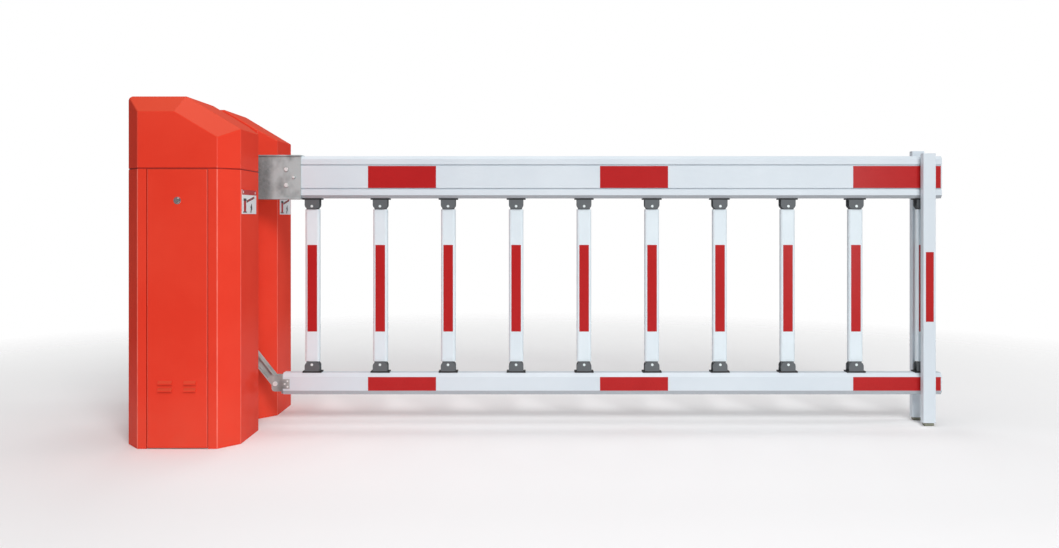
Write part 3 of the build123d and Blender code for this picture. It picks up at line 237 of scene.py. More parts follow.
def cabinet_red():
    """Orange-red powder coat: orange peel, a painted sheen on faces that look up, painted highlights on the
    upright folds, dust near the floor.
    """
    finish = Finish("cabinet_red", 0.5, coat=0.18, coat_roughness=0.14, specular=0.0)
    clouds = finish.mix(finish.remap(finish.noise(3.5, detail=4.0), 0.35, 0.65),
                        linear(231, 62, 43), linear(236, 70, 50))
    # Painted sheen: faces that look up turn paler and greyer, as if they mirrored the bright sky.
    top_sheen_share = finish.remap(finish.looks((0, 0, 1)), 0.2, 0.5, to_high=0.6)
    with_top_sheen = finish.mix(top_sheen_share, clouds, linear(212, 83, 59))
    dust_low = 0.01
    dust_high = 0.16
    low = finish.remap(finish.height(), dust_low, dust_high, to_low=0.16, to_high=0.0)
    dust = finish.times(low, finish.noise(22.0, detail=6.0))
    sheened_and_dusty = finish.mix(dust, with_top_sheen, linear(190, 120, 96))
    # Painted highlights: the upright folds turn pale pink, as if they caught the lamps, and less so on the hood.
    corner_cut = Vector((corner_cut_y, corner_cut_x, 0.0)).normalized()
    fade_out = 0.01
    on_hood = finish.remap(finish.height(), hood_foot, hood_foot + fade_out,
                           to_low=1.0, to_high=0.2)
    patchy = finish.remap(finish.noise(30.0), 0.3, 0.6, to_low=0.55, to_high=0.85)
    fold_highlight_share = finish.times(finish.upright_folds(corner_cut), finish.times(patchy, on_hood))
    finish.colour(finish.mix(fold_highlight_share, sheened_and_dusty, linear(250, 132, 118)))
    finish.rough_between(0.45, 0.55, scale=9.0, detail=5.0)
    finish.bump(finish.noise(420.0), distance=0.0001, strength=0.15)
    return finish.material


def powder_white(name, bright, dull):
    """Start of a white powder coat, and its colour with faint clouds."""
    finish = Finish(name, 0.36, specular=0.4)
    clouds = finish.remap(finish.noise(5.0, detail=5.0), 0.35, 0.75)
    finish.rough_between(0.32, 0.44, scale=14.0)
    finish.bump(finish.noise(500.0), distance=0.0001, strength=0.3)
    return finish, finish.mix(clouds, bright, dull)


def rail_white():
    """White powder coat on an extrusion, darker on its undersides as painted shade."""
    finish, white = powder_white("rail_white", linear(218, 227, 234), linear(211, 221, 229))
    # Painted shade: faces that look down turn grey.
    finish.colour(finish.mix(finish.underside(), white, linear(172, 177, 183)))
    return finish.material


def tape_red():
    """Dark red retroreflective sheet: small prism cells under a clear film."""
    finish = Finish("tape_red", 0.38, coat=0.12, coat_roughness=0.2, specular=0.15)
    cell_edge = finish.cells(260.0, feature="DISTANCE_TO_EDGE")
    rim_width = 0.12
    rim_share = 0.35
    rim = finish.remap(cell_edge, 0.0, rim_width, to_low=1.0, to_high=0.0)
    cloudy = finish.mix(finish.noise(18.0, detail=3.0), linear(180, 28, 30), linear(190, 35, 36))
    finish.colour(finish.mix(finish.times(rim, rim_share), cloudy, linear(150, 22, 26)))
    finish.roughness(finish.remap(rim, 0.0, 1.0, to_low=0.30, to_high=0.5))
    finish.bump(cell_edge, distance=0.0003, strength=0.2)
    return finish.material


def galvanized(name, bright, dark, cloud_scale, shade=None):
    """Weathered zinc: soft clouds of grey and a fine spangle, with painted shade on the undersides and, where
    shade gives two distances along the boom, painted shade that fades out between them.
    """
    finish = Finish(name, 0.6, metallic=0.1, specular=0.3)
    cloud_noise = finish.noise(cloud_scale, detail=3.0, stretch=(1, 1, 0.6))
    grey = finish.mix(finish.remap(cloud_noise, 0.34, 0.56), dark, bright)
    # Painted shade beside the cabinet, strongest at the first distance along the boom.
    if shade is not None:
        shaded = finish.remap(finish.along(), *shade, to_low=0.75, to_high=0.0)
        grey = finish.mix(shaded, grey, dark)
    spangle = finish.remap(finish.cells(170.0, output="Color"), 0.0, 1.0, to_high=0.14)
    grey = finish.mix(spangle, grey, linear(206, 210, 210))
    # Painted shade: faces that look down turn dark grey.
    finish.colour(finish.mix(finish.underside(), grey, linear(92, 97, 98)))
    finish.rough_between(0.5, 0.7, scale=60.0)
    finish.bump(finish.noise(260.0, detail=3.0), distance=0.00015, strength=0.25)
    return finish.material


def metal(name, dark, light, rough_low, rough_high, stretch=(1, 1, 1),
          scale=160.0, relief=0.00008, metallic=1.0):
    """Bare or plated metal with lines or grain, stretched along one axis."""
    finish = Finish(name, rough_low, metallic=metallic)
    grain = finish.noise(scale, detail=4.0, stretch=stretch)
    finish.colour(finish.mix(grain, dark, light))
    finish.rough_between(rough_low, rough_high, scale=35.0)
    finish.bump(grain, relief, strength=0.5)
    return finish.material


def paint(name, dark, light, rough_low, rough_high, grain_scale, relief):
    """Painted or cast surface with uneven colour and a grain."""
    finish = Finish(name, rough_low)
    finish.colour(finish.mix(finish.noise(7.0, detail=5.0), dark, light))
    finish.rough_between(rough_low, rough_high, scale=26.0)
    finish.bump(finish.noise(grain_scale, detail=3.0), relief, strength=0.6)
    return finish.material


def beyond(finish, distance):
    """1 where a point is further than distance above or below the pickets' middle, else 0."""
    offset = finish.maths("SUBTRACT", finish.height(), picket_middle_z)
    return finish.maths("GREATER_THAN", finish.maths("ABSOLUTE", offset), distance)


def bracket_grey():
    """Moulded grey nylon, coloured near black on the flange against the rail."""
    finish = Finish("bracket_grey", 0.5)
    flange_thickness = 0.0045
    flange_start = (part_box("top_brackets")[1].z - picket_middle_z) - flange_thickness - hair
    grey = finish.mix(finish.noise(7.0, detail=5.0), linear(86, 91, 94), linear(98, 103, 107))
    finish.colour(finish.mix(beyond(finish, flange_start), grey, linear(26, 27, 29)))
    finish.rough_between(0.42, 0.58, scale=26.0)
    finish.bump(finish.noise(900.0, detail=3.0), distance=0.00015, strength=0.6)
    return finish.material


def picket_white():
    """White powder-coated tube, with end plugs of dark grey nylon."""
    finish, white = powder_white("picket_white", linear(226, 237, 243), linear(218, 230, 237))
    plug_reach = 0.0291
    tube_end = (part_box("picket_1")[1].z - picket_middle_z) - plug_reach + hair
    finish.colour(finish.mix(beyond(finish, tube_end), white, linear(84, 88, 92)))
    return finish.material


materials = {
    "cabinet_red": cabinet_red(),
    "rail_white": rail_white(),
    "tape_red": tape_red(),
    "galvanized": galvanized("galvanized", linear(176, 181, 180), linear(124, 129, 129), 13.0),
    "bracket_grey": bracket_grey(),
    "steel": metal("steel", linear(150, 151, 153), linear(198, 199, 201), 0.28, 0.42,
                   stretch=(8.0, 0.5, 8.0)),
    "zinc": metal("zinc", linear(216, 226, 227), linear(240, 249, 250), 0.3, 0.45,
                  metallic=0.2),
    "chrome": metal("chrome", linear(206, 208, 210), linear(236, 238, 240), 0.08, 0.16,
                    scale=300.0, relief=0.00002),
    "spring_steel": metal("spring_steel", linear(70, 72, 76), linear(104, 107, 112), 0.3, 0.45),
}
# Dark and light colour, lowest and highest roughness, grains per metre, relief in metres.
painted = {
    "cast_iron": ((66, 70, 74), (84, 88, 92), 0.55, 0.75, 340.0, 0.0006),
    "frame_paint": ((58, 61, 65), (72, 75, 79), 0.45, 0.6, 300.0, 0.0002),
    "gearbox_paint": ((150, 154, 158), (172, 176, 180), 0.4, 0.55, 260.0, 0.0004),
    "motor_paint": ((58, 82, 110), (70, 96, 126), 0.4, 0.55, 300.0, 0.0003),
    "box_grey": ((186, 189, 191), (202, 205, 207), 0.45, 0.55, 700.0, 0.0001),
    "black_plastic": ((26, 26, 28), (38, 38, 41), 0.4, 0.55, 800.0, 0.0001),
    "rubber": ((24, 24, 24), (36, 36, 35), 0.65, 0.85, 420.0, 0.0003),
    "plate_white": ((230, 233, 236), (240, 243, 246), 0.3, 0.42, 500.0, 0.00005),
    "foot_grey": ((118, 120, 104), (136, 138, 122), 0.5, 0.65, 500.0, 0.0002),
    # Rubber strip whose dark red is painted shade for the shadow in the hood joints.
    "seam_shade_rubber": ((166, 26, 14), (178, 32, 18), 0.6, 0.8, 420.0, 0.0003),
}
for paint_name, (dark, light, *surface) in painted.items():
    materials[paint_name] = paint(paint_name, linear(*dark), linear(*light), *surface)

slot_of_node = {entry["node"]: entry["material_slot"] for entry in frame["record"]["subparts"]}
# Nodes whose look differs from the rest of their slot.
own_material = dict.fromkeys(picket_names, picket_white())
# The clamp's painted shade beside the cabinet fades out between these distances along the boom.
own_material["boom_clamp"] = galvanized("clamp_zinc", linear(178, 190, 191),
                                        linear(106, 116, 117), 17.0, shade=(0.168, 0.192))
for node_name, node in nodes.items():
    node.data.materials.clear()
    node.data.materials.append(own_material.get(node_name, materials[slot_of_node[node_name]]))


# --------------------------------------------------------------- piece makers
crease_angle = radians(40)


def piece(name, mesh, body, slot):
    """Shown piece from a finished bmesh, riding on a body, in a record slot's finish."""
    bmesh.ops.recalc_face_normals(mesh, faces=mesh.faces)
    for face in mesh.faces:
        face.smooth = True
    for edge in mesh.edges:
        edge.smooth = edge.calc_face_angle(0.0) < crease_angle
    data = bpy.data.meshes.new(name)
    mesh.to_mesh(data)
    mesh.free()
    data.materials.append(materials[slot])
    made = bpy.data.objects.new(name, data)
    bpy.context.scene.collection.objects.link(made)
    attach(made, body)
    return made


def rounded_outline(width, height, radius, steps=5):
    """Corner-rounded rectangle about the origin, as 2-D points."""
    corners = ((1, 1, 0.0), (-1, 1, pi / 2), (-1, -1, pi), (1, -1, 3 * pi / 2))
    points = []
    for side_x, side_y, start in corners:
        for step in range(steps + 1):
            angle = start + step / steps * pi / 2
            points.append((side_x * (width / 2 - radius) + radius * cos(angle),
                           side_y * (height / 2 - radius) + radius * sin(angle)))
    return points


def add_skin(mesh, rings, closed=False):
    """Join each ring of vertices to the next, and if closed the last one to the first."""
    followers = rings[1:]
    if closed:
        followers = rings[1:] + rings[:1]
    for before, after in zip(rings, followers):
        for this in range(len(before)):
            beside = (this + 1) % len(before)
            mesh.faces.new((before[this], before[beside], after[beside], after[this]))


def add_tube(mesh, rings):
    """Join rings of vertices to a skin, and close both its ends."""
    add_skin(mesh, rings)
    mesh.faces.new(rings[0])
    mesh.faces.new(rings[-1])


def turned_rings(mesh, profile, place, points):
    """Ring of vertices about place's Z for each radius and height in the profile."""
    angles = [point / points * tau for point in range(points)]
    return [[mesh.verts.new(place @ Vector((radius * cos(angle), radius * sin(angle), height)))
             for angle in angles]
            for radius, height in profile]


def bar_ring(mesh, core, radius, side, up, points):
    """Ring of vertices round a bar's core, in the plane of side and up."""
    turns = [point / points * tau for point in range(points)]
    return [mesh.verts.new(core + radius * (side * cos(turn) + up * sin(turn)))
            for turn in turns]


def add_slab(mesh, outline, thickness, place):
    """Add a slab with that outline, its back on place's plane and its face along place's +Z."""
    bottom = [mesh.verts.new(place @ Vector((x, y, 0))) for x, y in outline]
    top = [mesh.verts.new(place @ Vector((x, y, thickness))) for x, y in outline]
    mesh.faces.new(bottom)
    mesh.faces.new(top)
    add_skin(mesh, (bottom, top))


def add_lathe(mesh, profile, place, points=28):
    """Add a solid of revolution about place's Z; profile lists radius and height from its foot."""
    add_tube(mesh, turned_rings(mesh, profile, place, points))


def add_ring(mesh, inner, outer, thickness, place, points=32):
    """Add a flat ring with softened edges, its back on place's plane."""
    soft = thickness * 0.25
    profile = ((inner, 0), (outer, 0), (outer, thickness - soft), (outer - soft, thickness),
               (inner + soft, thickness), (inner, thickness - soft))
    add_skin(mesh, turned_rings(mesh, profile, place, points), closed=True)


def add_sweep(mesh, path, radius, points=12):
    """Add a round bar along a path of points, closed at both ends."""
    rings = []
    side = Vector((0, 1, 0))
    for this, core in enumerate(path):
        along = (path[min(this + 1, len(path) - 1)] - path[max(this - 1, 0)]).normalized()
        side = (side - along * side.dot(along)).normalized()
        rings.append(bar_ring(mesh, core, radius, side, along.cross(side), points))
    add_tube(mesh, rings)


def smooth_path(corners, steps=10):
    """Points of a curve that runs through the corners."""
    corners = [Vector(corner) for corner in corners]
    ends = [corners[0]] + corners + [corners[-1]]
    path = []
    for first, start, end, last in zip(ends, ends[1:], ends[2:], ends[3:]):
        for step in range(steps):
            share = step / steps
            leave = (end - first) / 2
            arrive = (last - start) / 2
            path.append(start * (2 * share ** 3 - 3 * share ** 2 + 1)
                        + leave * (share ** 3 - 2 * share ** 2 + share)
                        + end * (3 * share ** 2 - 2 * share ** 3)
                        + arrive * (share ** 3 - share ** 2))
    return path + [corners[-1]]


def polygon(radius, sides):
    """Regular outline about the origin."""
    return [(radius * cos(number / sides * tau), radius * sin(number / sides * tau))
            for number in range(sides)]


def hexagon(radius):
    """Outline of a nut that measures radius to its corners."""
    return polygon(radius, 6)


def lifted(place, height):
    """The same place, moved along its own +Z."""
    return place @ Matrix.Translation((0, 0, height))


def facing(position, side):
    """Plane through position, parallel to the boom; side -1 looks to -Y and 1 to +Y."""
    turn = Matrix(((-side, 0, 0), (0, 0, side), (0, 1, 0))).to_4x4()
    return Matrix.Translation(position) @ turn


def facing_tip(position):
    """Plane through position that looks along the boom; its x runs to +Y and its y up."""
    turn = Matrix(((0, 0, 1), (1, 0, 0), (0, 1, 0))).to_4x4()
    return Matrix.Translation(position) @ turn


def on_side(y, side):
    """A y in the front cabinet for side -1, or its mirror image in the rear one for 1."""
    return y if side < 0 else 2 * boom_y - y


boom_y = middle("top_rail").y
sides = ((-1, "front"), (1, "rear"))


# --------------------------------------------------------- reflective strips
tape_thickness = 0.0003
tape_corner = 0.0012
tape_lift = 0.00005


def strip(name, centre_x, face_y, low_z, high_z, width, side, body):
    """Upright reflective strip on a face that looks to side."""
    mesh = bmesh.new()
    position = (centre_x, face_y + side * tape_lift, (low_z + high_z) / 2)
    outline = rounded_outline(width, high_z - low_z, tape_corner)
    add_slab(mesh, outline, tape_thickness, facing(position, side))
    piece(name, mesh, body, "tape_red")


picket_tape_low = 0.296
picket_tape_high = 0.576
picket_tape_width = 0.031
for picket_name in picket_names:
    low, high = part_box(picket_name)
    for side, face_y, word in ((-1, low.y, "front"), (1, high.y, "back")):
        strip(f"{picket_name}_tape_{word}", middle(picket_name).x, face_y, picket_tape_low,
              picket_tape_high, picket_tape_width, side, body_of_node[picket_name])

leg_tape_low = 0.3325
leg_tape_high = 0.5545
leg_tape_width = 0.025
for leg_name, side in (("front_leg", -1), ("rear_leg", 1)):
    low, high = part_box(leg_name)
    strip(f"{leg_name}_tape", middle(leg_name).x, low.y if side < 0 else high.y,
          leg_tape_low, leg_tape_high, leg_tape_width, side, "end_frame")


# --------------------------------------------------------------- hood gaskets
def hood_gasket(word, boom_side):
    """Rubber strip in the joint between a cabinet and its hood, open where the shaft leaves; its dark red is
    painted shade for the joint.
    """
    low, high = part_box(f"{word}_cabinet")
    centre = (low + high) / 2
    shaft_x = middle("main_shaft").x - centre.x
    bush_low, bush_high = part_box("wall_bushes")
    gap = (bush_high.x - bush_low.x) / 2 + bush_clearance
    mesh = bmesh.new()

    def line(inset, height):
        """One edge of the strip round the cabinet, from one side of the shaft to the other."""
        half_x = (high.x - low.x) / 2 - inset
        half_y = (high.y - low.y) / 2 - inset
        cut_x = half_x - corner_cut_x + inset * cut_shrink
        cut_y = half_y - corner_cut_y + inset * cut_shrink
        corners = ((shaft_x + gap, half_y), (cut_x, half_y), (half_x, cut_y), (half_x, -cut_y),
                   (cut_x, -half_y), (-cut_x, -half_y), (-half_x, -cut_y), (-half_x, cut_y),
                   (-cut_x, half_y), (shaft_x - gap, half_y))
        return [mesh.verts.new((centre.x + x, centre.y + y * boom_side, height))
                for x, y in corners]

    edges = (line(outer_inset, joint_low), line(outer_inset, joint_high),
             line(inner_inset, joint_high), line(inner_inset, joint_low))
    add_tube(mesh, list(zip(*edges)))
    gasket = piece(f"{word}_hood_gasket", mesh, "cabinets", "rubber")
    # Dark red as painted shade, standing for the shadow in the joint.
    gasket.data.materials[0] = materials["seam_shade_rubber"]


outer_inset = 0.0016
inner_inset = 0.0037
cut_shrink = 0.55
bush_clearance = 0.001
joint_low = hood_foot + hair
joint_high = joint_low + 0.0038
for side, word in sides:
    hood_gasket(word, -side)


# --------------------------------------------------------- pictogram plates
print_thickness = 0.0002
print_lift = 0.00003


def bar_outline(start, end, width):
    """Outline of a straight bar between two points."""
    direction = (Vector(end) - Vector(start)).normalized()
    across = Vector((-direction.y, direction.x)) * width / 2
    corners = (Vector(start) - across, Vector(end) - across,
               Vector(end) + across, Vector(start) + across)
    return [(corner.x, corner.y) for corner in corners]


def arc_outline(centre, radius, width, start, end, steps=14):
    """Outline of an arc band, with an arrow head at its end."""
    def at(distance, angle):
        return (centre[0] + distance * cos(angle), centre[1] + distance * sin(angle))
    angles = [start + (end - start) * step / steps for step in range(steps + 1)]
    outer = [at(radius + width / 2, angle) for angle in angles]
    inner = [at(radius - width / 2, angle) for angle in reversed(angles)]
    head_half = 1.3 * width
    head_length = 2.2 * width
    head = [at(radius + head_half, end), at(radius, end + head_length / radius),
            at(radius - head_half, end)]
    return outer + head + inner


def pictogram(plate_y, word):
    """Print of one side plate: a header with two dots, a barrier post, its arm and an arrow."""
    low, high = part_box("side_plates")
    width = 0.145
    height = high.z - low.z
    place = facing_tip((high.x + print_lift, plate_y, (low.z + high.z) / 2))
    prints = {"tape_red": [], "black_plastic": [], "plate_white": []}

    header_height = 0.015
    header_y = height / 2 - header_height / 2
    edge = 0.001
    header = rounded_outline(width - 2 * edge, header_height, 2 * edge)
    prints["tape_red"].append(([(x, y + header_y) for x, y in header], 0))
    dot_reach = 0.060
    dot_radius = 0.0036
    for dot_x in (-dot_reach, dot_reach):
        dot = [(x + dot_x, y + header_y) for x, y in polygon(dot_radius, sides=20)]
        prints["plate_white"].append((dot, print_thickness))

    hinge = (-0.0435, 0.003)
    post_foot = (hinge[0], -0.029)
    post_width = 0.022
    prints["tape_red"].append((bar_outline(post_foot, hinge, post_width), 0))
    cap_top = (hinge[0], hinge[1] + 0.007)
    cap_width = 0.027
    prints["black_plastic"].append((bar_outline(hinge, cap_top, cap_width), 0))
    ground_left = (-0.062, -0.0305)
    ground_right = (-0.025, -0.0305)
    ground_width = 0.003
    prints["black_plastic"].append((bar_outline(ground_left, ground_right, ground_width), 0))

    rise = radians(10)
    arm_start = 0.017
    arm_drop = 0.005
    arm_width = 0.0070
    dash = 0.0135
    dash_length = dash * 0.88
    dash_count = 6
    for number in range(dash_count):
        reach = arm_start + number * dash
        start = (hinge[0] + reach * cos(rise), hinge[1] + reach * sin(rise) - arm_drop)
        stop = (start[0] + dash_length * cos(rise), start[1] + dash_length * sin(rise))
        ink = "tape_red" if number % 2 else "black_plastic"
        prints[ink].append((bar_outline(start, stop, arm_width), 0))

    arrow_radius = 0.068
    arrow_width = 0.0080
    arrow = arc_outline(hinge, arrow_radius, arrow_width, radians(-31), radians(-20))
    prints["black_plastic"].append((arrow, 0))

    for ink, shapes in prints.items():
        mesh = bmesh.new()
        for outline, lift in shapes:
            add_slab(mesh, outline, print_thickness, lifted(place, lift))
        piece(f"{word}_plate_{ink}", mesh, "cabinets", ink)


plate_middle_y = -0.010
for side, word in sides:
    pictogram(on_side(plate_middle_y, side), word)


# ------------------------------------------------------------ locks and doors
def door_trim(side, word):
    """Ring round the lock, and foam strips along the inside of the door."""
    door_low, door_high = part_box(f"{word}_door")
    face_y = on_side(door_face_y, side)
    ring = bmesh.new()
    add_ring(ring, lock_ring_inner, lock_ring_outer, lock_ring_thickness,
             facing((lock_x, face_y, lock_z), side))
    piece(f"{word}_lock_ring", ring, f"{word}_door", "chrome")

    inside_y = face_y - side * (door_sheet + hair)
    inner_width = door_inner_width - 2 * seal_corner
    run_low = door_low.z + seal_foot_gap
    run_high = door_high.z - seal_head_gap
    seals = bmesh.new()
    for across in (-1, 1):
        centre = (across * (inner_width - seal_width) / 2, inside_y, (run_low + run_high) / 2)
        outline = rounded_outline(seal_width, run_high - run_low, seal_corner)
        add_slab(seals, outline, seal_thickness, facing(centre, -side))
    for height in (run_low, run_high):
        outline = rounded_outline(inner_width - 2.2 * seal_width, seal_width, seal_corner)
        add_slab(seals, outline, seal_thickness, facing((0, inside_y, height), -side))
    piece(f"{word}_door_seals", seals, f"{word}_door", "rubber")


door_face_y = -0.150
door_sheet = 0.0015
door_inner_width = 0.170
lock_x = 0.0
lock_z = 0.713
lock_ring_inner = 0.0079
lock_ring_outer = 0.0106
lock_ring_thickness = 0.0009
seal_width = 0.010
seal_thickness = 0.004
seal_corner = 0.003
seal_foot_gap = 0.030
seal_head_gap = 0.012
for side, word in sides:
    door_trim(side, word)


# ------------------------------------------------------------- fixings inside
def upward(position):
    """Plane through position that looks up."""
    return Matrix.Translation(position)


def add_nut(mesh, place, stud_radius, stud_height):
    """Add a nut on its washer, with the stud's end through it."""
    washer_height = stud_radius * 0.4
    washer_inner = stud_radius * 0.9
    washer_outer = stud_radius * 2.2
    add_ring(mesh, washer_inner, washer_outer, washer_height, place)
    nut_place = lifted(place, washer_height)
    nut_height = stud_radius * 1.6
    nut_radius = stud_radius * 1.85
    soft = stud_radius * 0.16
    add_slab(mesh, hexagon(nut_radius), nut_height - soft, nut_place)
    add_slab(mesh, hexagon(nut_radius - soft), nut_height, nut_place)
    add_lathe(mesh, ((stud_radius, 0), (stud_radius, stud_height - soft),
                     (stud_radius - soft, stud_height)), place)


def add_screw(mesh, place, radius):
    """Add a pan head; gives its slot's outline and place, for a black sheet that stands for the slot as painted
    shade.
    """
    height = radius * 0.55
    head = ((radius, 0), (radius, height * 0.45), (radius * 0.86, height * 0.8),
            (radius * 0.5, height))
    add_lathe(mesh, head, place)
    slot_reach = radius * 0.6
    slot_width = radius * 0.22
    slot_foot = height * 0.9
    return bar_outline((-slot_reach, 0), (slot_reach, 0), slot_width), lifted(place, slot_foot)


# Bolts in the front cabinet, along the boom and across it; the rear cabinet mirrors them.
anchor_places = ((-0.120, -0.100), (-0.120, 0.100), (0.120, -0.100))
foot_places = ((-0.040, -0.006), (0.108, -0.006), (-0.040, 0.056), (0.108, 0.056))
base_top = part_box("base_plates")[1].z
foot_top = base_top + 0.006
anchor_radius = 0.006
anchor_height = 0.019
foot_bolt_radius = 0.005
foot_bolt_height = 0.015
for side, word in sides:
    nuts = bmesh.new()
    for x, y in anchor_places:
        add_nut(nuts, upward((x, on_side(y, side), base_top)), anchor_radius, anchor_height)
    for x, y in foot_places:
        add_nut(nuts, upward((x, on_side(y, side), foot_top)), foot_bolt_radius, foot_bolt_height)
    piece(f"{word}_foot_nuts", nuts, "cabinets", "zinc")


# --------------------------------------------------------- electrics and drive
def control_box_trim():
    """Screws and a blank window on the control box's lid, black sheets as painted shade in the screws' slots, and
    nuts on its glands.
    """
    low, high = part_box("control_box_lid")
    inset = 0.013
    screw_radius = 0.0048
    slot_thickness = 0.0004
    screws = bmesh.new()
    dark = bmesh.new()
    for x in (low.x + inset, high.x - inset):
        for z in (low.z + inset, high.z - inset):
            slot, slot_place = add_screw(screws, facing((x, low.y, z), -1), screw_radius)
            # Each slot is a thin black sheet on the head: painted shade where a cut slot would be.
            add_slab(dark, slot, slot_thickness, slot_place)
    piece("control_lid_screws", screws, "cabinets", "zinc")
    window = rounded_outline(width=0.074, height=0.040, radius=0.004)
    window_thickness = 0.0012
    window_drop = 0.048
    window_centre = ((low.x + high.x) / 2, low.y, high.z - window_drop)
    add_slab(dark, window, window_thickness, facing(window_centre, -1))
    piece("control_lid_window_and_slot_shades", dark, "cabinets", "black_plastic")

    nut_radius = 0.0118
    nut_height = 0.0042
    nut_rise = 0.0095
    mouth = ((0.0062, -0.0135), (0.0076, -0.0125), (0.0086, -nut_rise))
    nut_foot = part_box("control_box")[0].z + nut_rise
    nuts = bmesh.new()
    for gland_x in gland_places:
        place = upward((gland_x, gland_y, nut_foot))
        add_slab(nuts, hexagon(nut_radius), nut_height, place)
        add_lathe(nuts, mouth, place)
    piece("control_box_gland_nuts", nuts, "cabinets", "black_plastic")


gland_places = (-0.100, -0.065, -0.030)
gland_y = -0.048
control_box_trim()

motor_y = middle("drive_motor").y
terminal_low = 0.285
terminal_height = 0.062
terminal_x = -0.012
terminal_gland_x = terminal_x + 0.014
terminal_top = terminal_low + terminal_height


def terminal_box():
    """Terminal box on the motor's side, with its lid turned away from the motor, and gland."""
    body_width = 0.058
    body_depth = 0.036
    body_corner = 0.006
    rim = 0.004
    lid_thickness = 0.004
    lid_back = -0.0045
    box = bmesh.new()
    place = facing_tip((terminal_x, motor_y, terminal_low + terminal_height / 2))
    add_slab(box, rounded_outline(body_width, terminal_height, body_corner), body_depth, place)
    lid = rounded_outline(body_width + rim, terminal_height + rim, radius=0.007)
    add_slab(box, lid, lid_thickness, lifted(place, lid_back))
    piece("motor_terminal_box", box, "cabinets", "motor_paint")

    nut_radius = 0.010
    nut_height = 0.006
    gland = bmesh.new()
    top = upward((terminal_gland_x, motor_y, terminal_top))
    add_slab(gland, hexagon(nut_radius), nut_height, top)
    add_lathe(gland, ((0.0085, nut_height), (0.0085, 0.012), (0.0055, 0.016)), top)
    piece("motor_terminal_gland", gland, "cabinets", "black_plastic")


def cables():
    """Two cables out of the control box: to the motor, and to the limit switches."""
    gland_foot = 0.547
    motor_cable_radius = 0.0042
    switch_cable_radius = 0.003
    side_x = -0.1465
    switch_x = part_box("limit_switches")[0].x + 0.002
    motor_route = (
        (gland_places[2], gland_y, gland_foot), (gland_places[2], gland_y, 0.515),
        (-0.024, -0.050, 0.450), (-0.004, -0.051, 0.395),
        (terminal_gland_x, motor_y, terminal_top + 0.008))
    switch_route = (
        (gland_places[1], gland_y, gland_foot), (gland_places[1], gland_y, 0.522),
        (-0.100, -0.040, 0.500), (-0.138, -0.026, 0.520), (side_x, -0.022, 0.580),
        (side_x, -0.020, 0.700), (-0.136, -0.018, 0.762), (-0.095, -0.016, 0.786),
        (-0.030, -0.015, 0.792), (switch_x, -0.015, 0.792))
    mesh = bmesh.new()
    add_sweep(mesh, smooth_path(motor_route), motor_cable_radius)
    add_sweep(mesh, smooth_path(switch_route), switch_cable_radius)
    piece("control_cables", mesh, "cabinets", "rubber")


def gearbox_trim():
    """Sight glass, filler cap and a blank rating plate on the gearbox."""
    low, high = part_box("gearbox")
    lens_radius = 0.0062
    ring_radius = 0.0098
    ring_thickness = 0.0042
    place = facing((0.034, low.y + 0.006, 0.402), -1)
    ring = bmesh.new()
    add_ring(ring, lens_radius, ring_radius, ring_thickness, place)
    piece("gearbox_sight_ring", ring, "cabinets", "zinc")
    lens = bmesh.new()
    add_lathe(lens, ((lens_radius, 0), (lens_radius, 0.002), (0.0045, 0.0032), (0.002, 0.0036)),
              place)
    piece("gearbox_sight_glass", lens, "cabinets", "chrome")

    cap_radius = 0.0105
    cap_foot = 0.006
    cap = bmesh.new()
    top = upward((0.044, -0.066, high.z))
    add_slab(cap, hexagon(cap_radius), cap_foot, top)
    add_lathe(cap, ((0.0082, cap_foot), (0.0082, 0.013), (0.0062, 0.0155), (0.002, 0.0162)), top)
    piece("gearbox_filler_cap", cap, "cabinets", "black_plastic")

    plate_thickness = 0.0006
    rivet_reach = 0.021
    rivet_profile = ((0.0022, 0), (0.0018, 0.0007), (0.0007, 0.001))
    rating = bmesh.new()
    side_place = facing_tip((high.x, middle("gearbox").y, 0.470))
    plate = rounded_outline(width=0.050, height=0.030, radius=0.002)
    add_slab(rating, plate, plate_thickness, side_place)
    for x in (-rivet_reach, rivet_reach):
        rivet = side_place @ Matrix.Translation((x, 0, plate_thickness))
        add_lathe(rating, rivet_profile, rivet, points=16)
    piece("gearbox_rating_plate", rating, "cabinets", "steel")


terminal_box()
cables()
gearbox_trim()


# --------------------------------------------------- linkage and boom fixings
def add_weld(mesh, place, radius, bead, ripples=44):
    """Add a rippled weld bead round a circle on place's plane."""
    steps_per_ripple = 6
    ripple_depth = 0.13
    steps = ripples * steps_per_ripple
    around = 8
    rings = []
    for step in range(steps):
        angle = step / steps * tau
        swell = 1 + ripple_depth * cos(step / steps_per_ripple * tau)
        ring = []
        for point in range(around):
            turn = point / around * tau
            distance = radius + bead * swell * cos(turn)
            ring.append(mesh.verts.new(place @ Vector((distance * cos(angle), distance * sin(angle),
                                                       bead * swell * sin(turn)))))
        rings.append(ring)
    add_skin(mesh, rings, closed=True)


main_x = joints["boom_lift"]["pos_m"][0]
main_z = joints["boom_lift"]["pos_m"][2]
clamp_half = 0.0257
hub_radius = 0.042
weld_bead = 0.0026
# Place along the boom, rise over the shaft, and radius of the head, for each clamp bolt.
clamp_bolts = ((0.230, 0.025, 0.0068), (0.230, -0.0255, 0.0068), (0.254, 0.0, 0.0046))
washer_thickness = 0.0012
washers = bmesh.new()
welds = bmesh.new()
for side in (-1, 1):
    face_y = boom_y + side * clamp_half
    for x, rise, head_radius in clamp_bolts:
        place = facing((x, face_y, main_z + rise), side)
        add_ring(washers, head_radius * 0.6, head_radius * 1.3, washer_thickness, place)
    add_weld(welds, facing((main_x, face_y, main_z), side), hub_radius, weld_bead)
piece("clamp_washers", washers, "boom", "galvanized")
piece("clamp_welds", welds, "boom", "steel")


